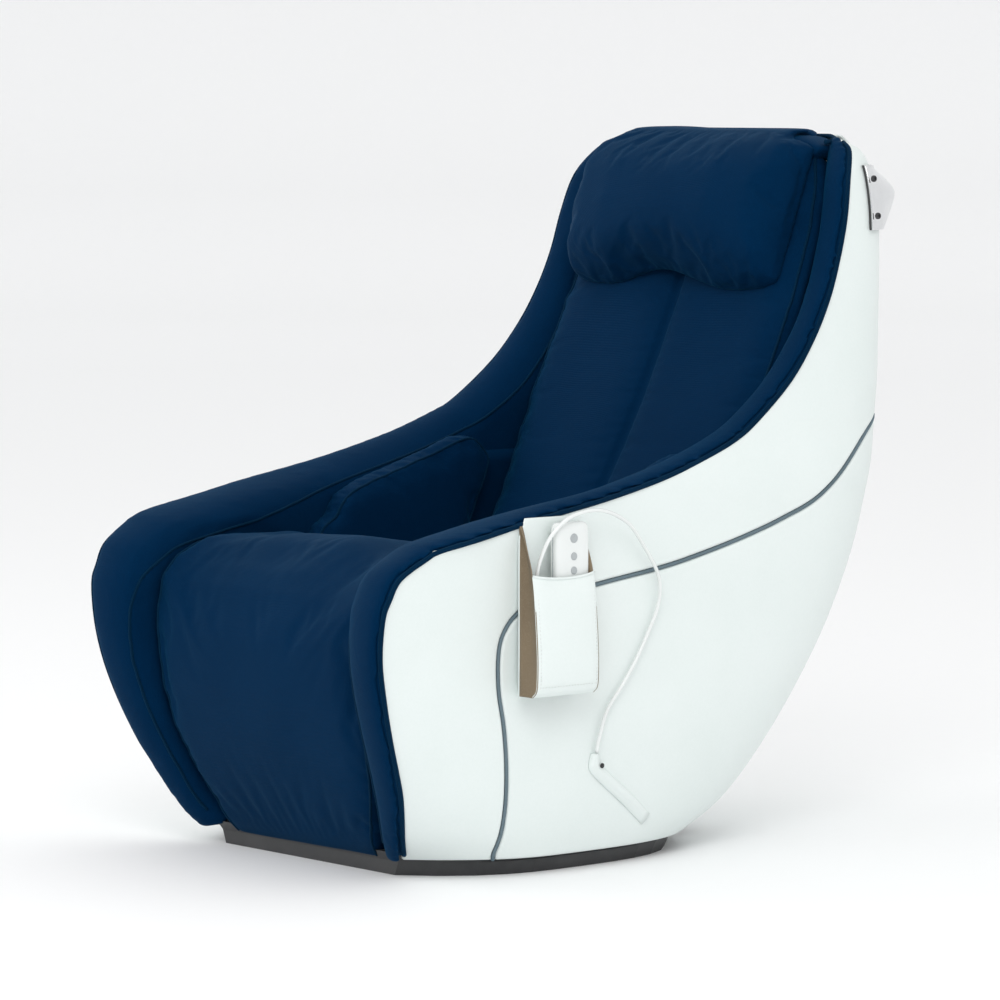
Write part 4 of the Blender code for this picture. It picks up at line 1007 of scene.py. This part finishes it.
def back_pad():
    """The long back pad, stuffed in two columns on either side of its middle seam."""
    pad = remeshed(copied("back_pad_soft", "back_pad"), 0.0065, 6)
    spots = coordinates(pad)
    middle = [pad_front(0.0, z) for z in np.linspace(0.40, 0.93, 60)]
    seam = line_distance(spots, middle)
    radius = np.hypot(spots[:, 1] - ARC_Y, spots[:, 2] - ARC_Z)
    behind = np.clip((radius - PAD_RADIUS - 0.010) / 0.006, 0.0, 1.0)
    held = np.maximum(behind, np.clip(1.5 - seam / 0.008, 0.0, 1.0))
    stuff(pad, 0.010, held, 4.0, 0.02)
    refined(pad)
    sewn(pad, middle, 0.012, 0.0045)
    rumpled(pad, 0.0020, 11.0, 5, (1.0, 0.6, 0.6))
    dress(pad, NAVY, "root", ["back_pad"])
    for side, sign in SIDES:
        edge = []
        for z, half in ((0.385, 0.199), (0.44, 0.209), (0.52, 0.225), (0.58, 0.233), (0.64, 0.233),
                        (0.72, 0.231), (0.80, 0.227), (0.87, 0.217), (0.915, 0.200)):
            edge.append(pad_front(sign * half, z))
        welt_on(pad, "back_welt_" + side, smooth_line(edge, 4), 0.0020, 0.0002)


def calf_pad():
    """The long front panel over the calves and knees, taut below and loose where it turns over the top."""
    pad = remeshed(copied("calf_pad_soft", "calf_pad"), 0.0068, 6)
    spots = coordinates(pad)
    side = np.abs(spots[:, 0])
    held = np.clip((side - 0.200) / 0.010, 0.0, 1.0) * np.where(spots[:, 2] < 0.38, 1.0, 0.7)
    held = np.maximum(held, np.clip(1.0 - (spots[:, 2] - 0.040) / 0.030, 0.0, 1.0))
    stuff(pad, 0.011, held, 4.0, 0.02)
    refined(pad)
    rumpled(pad, 0.0022, 9.0, 8, (1.0, 0.7, 0.5))
    crest(pad)
    lowered(pad, 0.014)
    dress(pad, NAVY, "root", ["calf_pad"])
    front = ((0.150, -0.356, 0.0200), (0.160, -0.373, 0.046), (0.190, -0.398, 0.110), (0.206, -0.4175, 0.165),
             (0.2150, -0.434, 0.230), (0.2185, -0.4395, 0.300), (0.2185, -0.4300, 0.362),
             (0.2185, -0.4060, 0.388), (0.2180, -0.3630, 0.406), (0.2160, -0.3130, 0.412),
             (0.2140, -0.2400, 0.405), (0.2140, -0.1950, 0.397))
    for name, sign in SIDES:
        line = smooth_line([(sign * (x - 0.003), y, z) for x, y, z in front], 4)
        welt_on(pad, "calf_welt_" + name, line, 0.0020, 0.0002)


def crest(pad):
    """Slow waves along the top of the front panel, where the cover is loose."""
    spots = coordinates(pad)
    for i, (x, y, z) in enumerate(spots):
        top = smooth_share(z, 0.360, 0.400) * (1.0 - smooth_share(y, -0.22, -0.19))
        wave = 0.55 * math.sin(21.0 * x + 0.9) + 0.40 * math.sin(38.0 * x - 14.0 * y)
        wave += 0.25 * math.sin(30.0 * y)
        spots[i][2] += 0.0075 * top * wave * (1.0 - smooth_share(abs(x), 0.185, 0.215))
    set_coordinates(pad, spots)


def seat_cushion():
    """The seat cushion, dished in the middle and pinched at its edges."""
    cushion = remeshed(copied("seat_cushion_soft", "seat_cushion"), 0.0060, 6)
    spots = coordinates(cushion)
    held = np.clip((0.335 - spots[:, 2]) / 0.010, 0.0, 1.0)
    stuff(cushion, 0.010, held, 4.0, 0.02)
    refined(cushion)
    for sign in (-1, 1):
        sewn(cushion, [(sign * 0.120, y, 0.372 - 0.13 * (y + 0.05)) for y in np.linspace(-0.18, 0.08, 20)],
             0.014, 0.005)
    rumpled(cushion, 0.0020, 12.0, 11)
    dress(cushion, NAVY, "root", ["seat_cushion"])


def wall_pads():
    """The padded walls beside the sitter's hips, which cover the air cells."""
    pad = remeshed(copied("wall_pad_soft_left", "seat_wall_pad_left"), 0.0050, 8)
    spots = coordinates(pad)
    held = np.clip((spots[:, 0] - 0.236) / 0.006, 0.0, 1.0)
    stuff(pad, 0.008, held, 4.0, 0.05)
    refined(pad)
    rumpled(pad, 0.0030, 18.0, 2, (1.0, 1.0, 0.5))
    right = mirrored(pad, "wall_pad_soft_right")
    edge = ((-0.170, 0.345), (-0.165, 0.393), (-0.156, 0.411), (-0.136, 0.424), (-0.118, 0.448),
            (-0.083, 0.466), (0.004, 0.492), (0.079, 0.516), (0.103, 0.518), (0.135, 0.488), (0.090, 0.370))
    for side, sign, piece in (("left", 1, pad), ("right", -1, right)):
        dress(piece, NAVY, "root", ["seat_wall_pad_" + side])
        line = smooth_line([(sign * 0.2150, y, z) for y, z in edge], 4)
        welt_on(piece, "wall_welt_" + side, line, 0.0020, 0.0002)


def pillow():
    """The fat head pillow with two lobes, and the flap that carries it over the top of the back."""
    body = copied("pillow_soft", "pillow")
    flap = []
    for y, low, high in ((0.328, 0.915, 0.934), (0.350, 0.9405, 0.9490), (0.372, 0.9430, 0.9512),
                         (0.3915, 0.9430, 0.9515)):
        flap.append([(-0.165, y, low), (0.165, y, low), (0.165, y, high), (-0.165, y, high)])
    strip = loft("flap", flap)
    made = joined("pillow_soft_whole", [body, strip])
    remeshed(made, 0.0050, 8)
    made.name = "pillow_soft"
    spots = coordinates(made)
    held = np.clip((spots[:, 1] - 0.340) / 0.012, 0.0, 1.0) * np.where(spots[:, 2] > 0.93, 1.0, 0.0)
    held = np.maximum(held, pillow_back(spots))
    stuff(made, 0.016, held, 5.0, 0.03)
    refined(made)
    lobes(made)
    rumpled(made, 0.0030, 9.0, 4)
    dress(made, NAVY, "pillow", ["pillow"])


def pillow_back(spots):
    """How far a place belongs to the pillow's flat back, next to the back pad."""
    radius = np.hypot(spots[:, 1] - ARC_Y, spots[:, 2] - ARC_Z)
    return np.clip((radius - PAD_RADIUS + 0.020) / 0.008, 0.0, 1.0)


def lobes(made):
    """Lift the middle of the pillow's lower edge and tuck its lower corners."""
    spots = coordinates(made)
    for i, (x, _, z) in enumerate(spots):
        low = 1.0 - smooth_share(z, 0.735, 0.815)
        middle = math.exp(-((x + 0.015) / 0.075) ** 2)
        spots[i][2] += low * (0.018 * middle - 0.006 * math.exp(-((abs(x) - 0.125) / 0.06) ** 2))
    set_coordinates(made, spots)


TOP_HALF = 0.2145               # half width of the stuffed band over the top of the back


def rounded_bar(name, rows, sides=24):
    """A stuffed bar across the chair: rows of (x, front y, back y, low z, high z), rounded in section."""
    rings = []
    for x, front, back, low, high in rows:
        ring = []
        for k in range(sides):
            turn = 2 * math.pi * k / sides
            across = math.copysign(abs(math.cos(turn)) ** 0.6, math.cos(turn))
            upward = math.copysign(abs(math.sin(turn)) ** 0.6, math.sin(turn))
            ring.append((x, (front + back) / 2 + (back - front) / 2 * across,
                         (low + high) / 2 + (high - low) / 2 * upward))
        rings.append(ring)
    return loft(name, rings)


def top_edge():
    """The stuffed band that closes the back padding onto the rear cover, and the pillow's anchor."""
    rows = []
    for x in np.linspace(-TOP_HALF, TOP_HALF, 61):
        size = max(0.05, 1.0 - (abs(x) / TOP_HALF) ** 10) ** 0.5
        back = plan_back(x, 0.9385) - 0.0035
        front = 0.350 + 0.008 * smooth_share(abs(x), 0.15, TOP_HALF)
        rise = 0.0115 * size - 0.006 * smooth_share(abs(x), 0.16, TOP_HALF)
        rows.append((x, front, back, 0.926 - 0.022 * size, 0.930 + rise))
    band = rounded_bar("top_band", rows)
    rumpled(band, 0.0012, 14.0, 6)
    dress(band, NAVY)
    rows = []
    for x in np.linspace(-0.166, 0.166, 41):
        size = max(0.1, 1.0 - (abs(x) / 0.167) ** 12) ** 0.5
        rows.append((x, 0.3935, 0.3935 + 0.0215 * size, 0.9360, 0.9360 + 0.0150 * size))
    dress(rounded_bar("pillow_anchor", rows), NAVY)
    line = []
    for x in np.linspace(-0.2165, 0.2165, 80):
        line.append((x, plan_back(x, 0.9385) - 0.0045, 0.9405 - 0.0075 * smooth_share(abs(x), 0.17, 0.2165)))
    dress(tube("top_welt", line, 0.0032, 10), DARK_PIPING)


# ---------------------------------------------------------------- remote, pouch and guide
POUCH_Y, POUCH_HALF, POUCH_BACK = -0.2205, 0.0515, 0.3304
POUCH_FRONT = ((0.392, 0.0290), (0.360, 0.0345), (0.300, 0.0395), (0.262, 0.0398), (0.246, 0.0375),
               (0.2385, 0.0300))
POUCH_WALL = 0.0020


def pouch():
    """A stitched pouch: a back flap hung from the rim, soft front panel and tan lining gussets, whose dark
    tan is partly painted shade.
    """
    front = smooth_line(POUCH_FRONT, 5)
    columns = np.linspace(-1.0, 1.0, 25)
    rows = []
    for z, thick in front:
        row = []
        for share in columns:
            edge = abs(share) ** 6
            crown = 0.0030 * (1 - share * share) * smooth_share(z, 0.240, 0.280)
            mouth = -0.0030 * math.exp(-((z - 0.392) / 0.03) ** 2) * math.cos(share * math.pi)
            x = POUCH_BACK + thick - 0.0030 * edge + crown + mouth * 0.5
            top = 0.0050 * math.exp(-((z - 0.392) / 0.02) ** 2) * (share * share - 1.0)
            row.append((x, POUCH_Y + share * POUCH_HALF, z + top))
        rows.append(row)
    face = loft("pouch_face", rows, closed=False, capped=False)
    modifier(face, "SOLIDIFY", thickness=POUCH_WALL, offset=-1.0)
    modifier(face, "BEVEL", width=0.0007, segments=2)
    dress(face, WHITE, "root", ["remote_pouch"])
    flap = []
    for z in np.linspace(0.2370, 0.4640, 40):
        wide = POUCH_HALF - 0.010 * smooth_share(z, 0.440, 0.466)
        bow = 0.0010 * math.sin((z - 0.24) * 30.0)
        flap.append([(POUCH_BACK - 0.0006 + bow * (1 - s * s), POUCH_Y + s * wide, z) for s in columns])
    back = loft("pouch_back", flap, closed=False, capped=False)
    modifier(back, "SOLIDIFY", thickness=0.0026, offset=1.0)
    modifier(back, "BEVEL", width=0.0008, segments=2)
    dress(back, WHITE)
    gussets = []
    for sign in (-1, 1):
        rows = []
        for z, thick in smooth_line(((0.4550, 0.0030), (0.4400, 0.0120), (0.4100, 0.0240)) + POUCH_FRONT, 4):
            row = []
            for share in np.linspace(0.0, 1.0, 9):
                fold = 0.0048 * math.sin(math.pi * share) * smooth_share(z, 0.235, 0.300)
                row.append((POUCH_BACK + 0.0010 + (thick - 0.0035) * share,
                            POUCH_Y + sign * (POUCH_HALF - 0.0008 - fold), z))
            rows.append(row)
        side = loft("gusset", rows, closed=False, capped=False)
        modifier(side, "SOLIDIFY", thickness=0.0012, offset=0.0)
        gussets.append(side)
    # Painted shade: the gussets' tan is darkened to stand for the shadow beside the pouch.
    dress(joined("pouch_gussets", gussets), LINING_AND_PAINTED_SHADE)
    stitches = []
    for sign in (-1, 1):
        for z in np.arange(0.252, 0.388, 0.0048):
            heights, depths = zip(*reversed(POUCH_FRONT))
            x = POUCH_BACK + float(np.interp(z, heights, depths)) - 0.0010
            y = POUCH_Y + sign * (POUCH_HALF - 0.0050)
            bow = [(x, y, z - 0.0015), (x + 0.0006, y, z), (x, y, z + 0.0015)]
            stitches.append(tube("stitch", bow, 0.0004, 6))
    for y in np.arange(POUCH_Y - POUCH_HALF + 0.007, POUCH_Y + POUCH_HALF - 0.005, 0.0048):
        x, z = POUCH_BACK + 0.0400, 0.2520
        bow = [(x, y - 0.0015, z), (x + 0.0006, y, z), (x, y + 0.0015, z)]
        stitches.append(tube("stitch", bow, 0.0004, 6))
    dress(joined("pouch_stitches", stitches), GLOSS)
    hem = []
    for s in columns:
        x = POUCH_BACK + 0.0290 + 0.0030 * (1 - s * s) - 0.0015 * math.cos(s * math.pi) - 0.003 * s ** 6
        hem.append((x, POUCH_Y + s * (POUCH_HALF - 0.0005), 0.3925 + 0.0050 * (s * s - 1.0)))
    dress(tube("pouch_hem", hem, 0.0017, 8), WHITE)


REMOTE_X, REMOTE_Y, REMOTE_LOW, REMOTE_HIGH = 0.3470, -0.2010, 0.2850, 0.4570


def remote():
    """The wired handset: a rounded shell and three round push buttons."""
    rings = []
    for z, share in ((REMOTE_LOW, 0.72), (REMOTE_LOW + 0.0012, 0.84), (REMOTE_LOW + 0.004, 0.94),
                     (REMOTE_LOW + 0.010, 0.985), (0.310, 1.0), (0.350, 1.0), (0.400, 1.0), (0.435, 1.0),
                     (REMOTE_HIGH - 0.010, 0.985), (REMOTE_HIGH - 0.004, 0.93), (REMOTE_HIGH - 0.0012, 0.83),
                     (REMOTE_HIGH, 0.70)):
        ring = []
        for i in range(48):
            turn = 2 * math.pi * i / 48
            y = 0.0280 * share * math.copysign(abs(math.cos(turn)) ** 0.42, math.cos(turn))
            x = 0.0085 * share * math.copysign(abs(math.sin(turn)) ** 0.50, math.sin(turn))
            ring.append((REMOTE_X + x, REMOTE_Y + y, z))
        rings.append(ring)
    body = loft("remote_shell", rings)
    body.data.set_sharp_from_angle(angle=math.radians(50))
    dress(body, GLOSS, "remote", ["remote_body"])
    spot = Vector((REMOTE_X, REMOTE_Y, REMOTE_LOW + 0.001))
    ribs = ((0.0030, -0.0068), (0.0040, -0.0058), (0.0034, -0.0050), (0.0043, -0.0040),
            (0.0037, -0.0031), (0.0047, -0.0020), (0.0047, 0.0))
    relief = turned("remote_relief", ribs, spot, (0, 0, 1), 24)
    dress(relief, GLOSS, "remote")
    seam = []
    for i in range(49):
        turn = math.pi * 2 * i / 48
        height = (REMOTE_LOW + REMOTE_HIGH) / 2 + 0.0852 * math.copysign(abs(math.sin(turn)) ** 0.16,
                                                                       math.sin(turn))
        seam.append((REMOTE_X, REMOTE_Y + 0.0280 * math.copysign(abs(math.cos(turn)) ** 0.22, math.cos(turn)),
                     height))
    dress(tube("remote_seam", seam, 0.0004, 6), PIPING, "remote")
    face = REMOTE_X + 0.0085
    for name, z, radius in (("power", 0.4370, 0.0060), ("up", 0.4140, 0.0050), ("down", 0.3960, 0.0050)):
        profile = ((radius * 0.2, -0.0022), (radius, -0.0022), (radius, 0.0004), (radius - 0.0003, 0.0009),
                   (radius - 0.0009, 0.0012), (radius * 0.6, 0.0010), (radius * 0.2, 0.0008))
        cap = turned("key_" + name, profile, (face, REMOTE_Y, z), (1, 0, 0), 32)
        dress(cap, KEYS, name + "_key", ["button_" + name])


GUIDE_TOP, GUIDE_CORNER, GUIDE_LOW = (-0.1325, 0.1525), (-0.128, 0.132), (-0.0300, 0.0560)


def cable_guide():
    """A soft leatherette channel that holds the lead against the shell, closed by a snap."""
    spine = smooth_line([GUIDE_TOP, (-0.1315, 0.141), GUIDE_CORNER, (-0.105, 0.1135), (-0.080, 0.095),
                         GUIDE_LOW], 6)
    rings = []
    for i, spot in enumerate(spine):
        along = (spine[min(i + 1, len(spine) - 1)] - spine[max(i - 1, 0)]).normalized()
        across = Vector((-along.y, along.x))
        half = 0.0060 + 0.0030 * smooth_share(i, 0, 8)
        taper = 1.0 - 0.5 * smooth_share(i, len(spine) - 6, len(spine) - 1)
        ring = []
        for share, rise in ((-1.0, 0.0006), (-1.0, 0.0018), (-0.86, 0.0034), (-0.55, 0.0052), (-0.2, 0.0064),
                            (0.2, 0.0064), (0.55, 0.0052), (0.86, 0.0034), (1.0, 0.0018), (1.0, 0.0006)):
            at = spot + across * half * share
            ring.append((shell_x(at.x, at.y) + 0.0004 + (rise - 0.0006) * taper, at.x, at.y))
        rings.append(ring)
    guide = loft("guide_channel", rings)
    dress(guide, WHITE, "root", ["cable_guide"])
    spot = Vector((shell_x(-0.122, 0.136) + 0.0062, -0.122, 0.136))
    snap = turned("guide_snap", ((0.0010, 0.0), (0.0034, 0.0), (0.0034, 0.0006), (0.0028, 0.0012),
                                 (0.0022, 0.0010), (0.0018, 0.0016), (0.0004, 0.0018)), spot, (1, 0, 0), 24)
    dress(snap, BLACK)


# ---------------------------------------------------------------- handle and wheels
HANDLE_Z, BAR_Y, BAR_REACH = 0.860, 0.4700, 0.2260
BRACKET_FRONT = 0.3880          # y of the brackets' front edge, on the side of the shell
BRACKET_RINGS = (               # height, y and x of the outer rear corner
    (0.815, 0.4250, 0.2720), (0.835, 0.4600, 0.2470), (0.860, 0.4800, 0.2370),
    (0.872, 0.4770, 0.2350), (0.884, 0.4620, 0.2350), (0.895, 0.4320, 0.2490), (0.902, 0.4180, 0.2590),
)
BRACKET_PROUD = 0.0065          # how far the plate's face stands off the shell
BRACKET_THICK = 0.0026
SCREWS = (("upper", 0.884), ("lower", 0.834))


def bracket_plate(side, sign):
    """One chrome plate wrapped round the shell's rear corner, its outer face gently crowned."""
    rings = []
    for height, rear_y, rear_x in smooth_line(BRACKET_RINGS, 5):
        front_x = shell_x(BRACKET_FRONT, height) + BRACKET_PROUD
        outer = []
        for share in np.linspace(0.0, 1.0, 13):
            crown = 0.0022 * math.sin(math.pi * share)
            outer.append((front_x + (rear_x - front_x) * share + crown,
                          BRACKET_FRONT + (rear_y - BRACKET_FRONT) * share + 0.4 * crown, height))
        inner = [(x - BRACKET_THICK, y - 0.35 * BRACKET_THICK, z) for x, y, z in reversed(outer)]
        rings.append([(sign * x, y, z) for x, y, z in outer + inner])
    plate = loft("cheek_" + side, rings)
    modifier(plate, "BEVEL", width=0.0009, segments=3, limit_method="ANGLE", angle_limit=math.radians(40))
    finished_mesh(plate)
    plate.data.set_sharp_from_angle(angle=math.radians(45))
    return plate


def rear_handle():
    """A black grip bar between two chrome brackets on soft black pads, each held by two dark screws."""
    profile = [(0.0040, -BAR_REACH + 0.004), (0.0080, -BAR_REACH + 0.005)]
    for k in range(61):
        profile.append((0.0084 + 0.0006 * (k % 2), -0.150 + 0.300 * k / 60))
    profile += [(0.0080, BAR_REACH - 0.005), (0.0040, BAR_REACH - 0.004)]
    bar = turned("grip_bar", profile, (0.0, BAR_Y, HANDLE_Z), (1, 0, 0), 40)
    bar.data.set_sharp_from_angle(angle=math.radians(40))
    dress(bar, BLACK, "root", ["rear_handle_bar"])
    for side, sign in SIDES:
        dress(bracket_plate(side, sign), CHROME, "root", ["handle_bracket_" + side])
        dress(bracket_pad(side, sign), BLACK)
        for level, z in SCREWS:
            spot = (sign * (shell_x(BRACKET_FRONT, z) + BRACKET_PROUD - 0.0004), BRACKET_FRONT + 0.010, z)
            head = ((0.0045, -0.0010), (0.0045, 0.0012), (0.0040, 0.0021), (0.0026, 0.0026),
                    (0.0022, 0.0026), (0.0020, 0.0012), (0.0004, 0.0012))
            screw = turned(f"screw_{level}_{side}", head, spot, (sign, 0, 0), 24)
            screw.data.set_sharp_from_angle(angle=math.radians(30))
            dress(screw, STEEL, "root", [f"handle_screw_{level}_{side}"])


def bracket_pad(side, sign):
    """The black moulded pad between a bracket and the shell; its edge shows round the plate."""
    rings = []
    for height, rear_y, rear_x in smooth_line(BRACKET_RINGS, 5):
        front = BRACKET_FRONT - 0.0012
        outer_front = shell_x(front, height) + BRACKET_PROUD - BRACKET_THICK
        last = min(rear_y - 0.006, 0.434)
        ring = [(outer_front, front, height), (rear_x - 0.0035, rear_y - 0.0005, height)]
        ring.append((min(rear_x - 0.012, shell_x(last, height) + 0.0008), rear_y - 0.0020, height))
        for y in np.linspace(last, front, 4):
            ring.append((shell_x(y, height) + 0.0006, y, height))
        rings.append([(sign * x, y, z) for x, y, z in ring])
    return loft("bracket_pad_" + side, rings)


def transport_wheels():
    """Rubber-tyred wheels with a dished hub."""
    centre_low, centre_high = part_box("transport_wheel_left")
    spot = (centre_low + centre_high) / 2
    for side, sign in SIDES:
        tyre = [(0.0046, 0.0110), (0.0118, 0.0110), (0.0132, 0.0096), (0.0140, 0.0072), (0.0255, 0.0068),
                (0.0272, 0.0090), (0.0290, 0.0118), (0.0310, 0.0116), (0.0332, 0.0098), (0.0340, 0.0072)]
        loop = tyre + [(r, -h) for r, h in reversed(tyre)] + [tyre[0]]
        wheel = turned_ring("tyre_" + side, loop, (sign * spot.x, spot.y, spot.z), 56)
        dress(wheel, RUBBER, "wheel_" + side, ["transport_wheel_" + side])


def turned_ring(name, loop, centre, sides):
    """A bored solid turned about X: a closed loop of (radius, place along the axis)."""
    shape = bmesh.new()
    rows = []
    for k in range(sides):
        turn = 2 * math.pi * k / sides
        rows.append([shape.verts.new((centre[0] + along, centre[1] + radius * math.cos(turn),
                                      centre[2] + radius * math.sin(turn))) for radius, along in loop[:-1]])
    for k in range(sides):
        a, b = rows[k], rows[(k + 1) % sides]
        for i in range(len(a)):
            j = (i + 1) % len(a)
            shape.faces.new((a[i], a[j], b[j], b[i]))
    made = from_bmesh(shape, name)
    made.data.set_sharp_from_angle(angle=math.radians(35))
    return made


# ---------------------------------------------------------------- the whole chair
camera()
studio()
paint_frame()
lead, lead_path = remote_cord()
side_panels()
rear_cover()
arm_rolls()
rim_tape()
tub_lining()
back_pad()
calf_pad()
seat_cushion()
wall_pads()
pillow()
top_edge()
pouch()
remote()
cable_guide()
rear_handle()
transport_wheels()

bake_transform(lead)
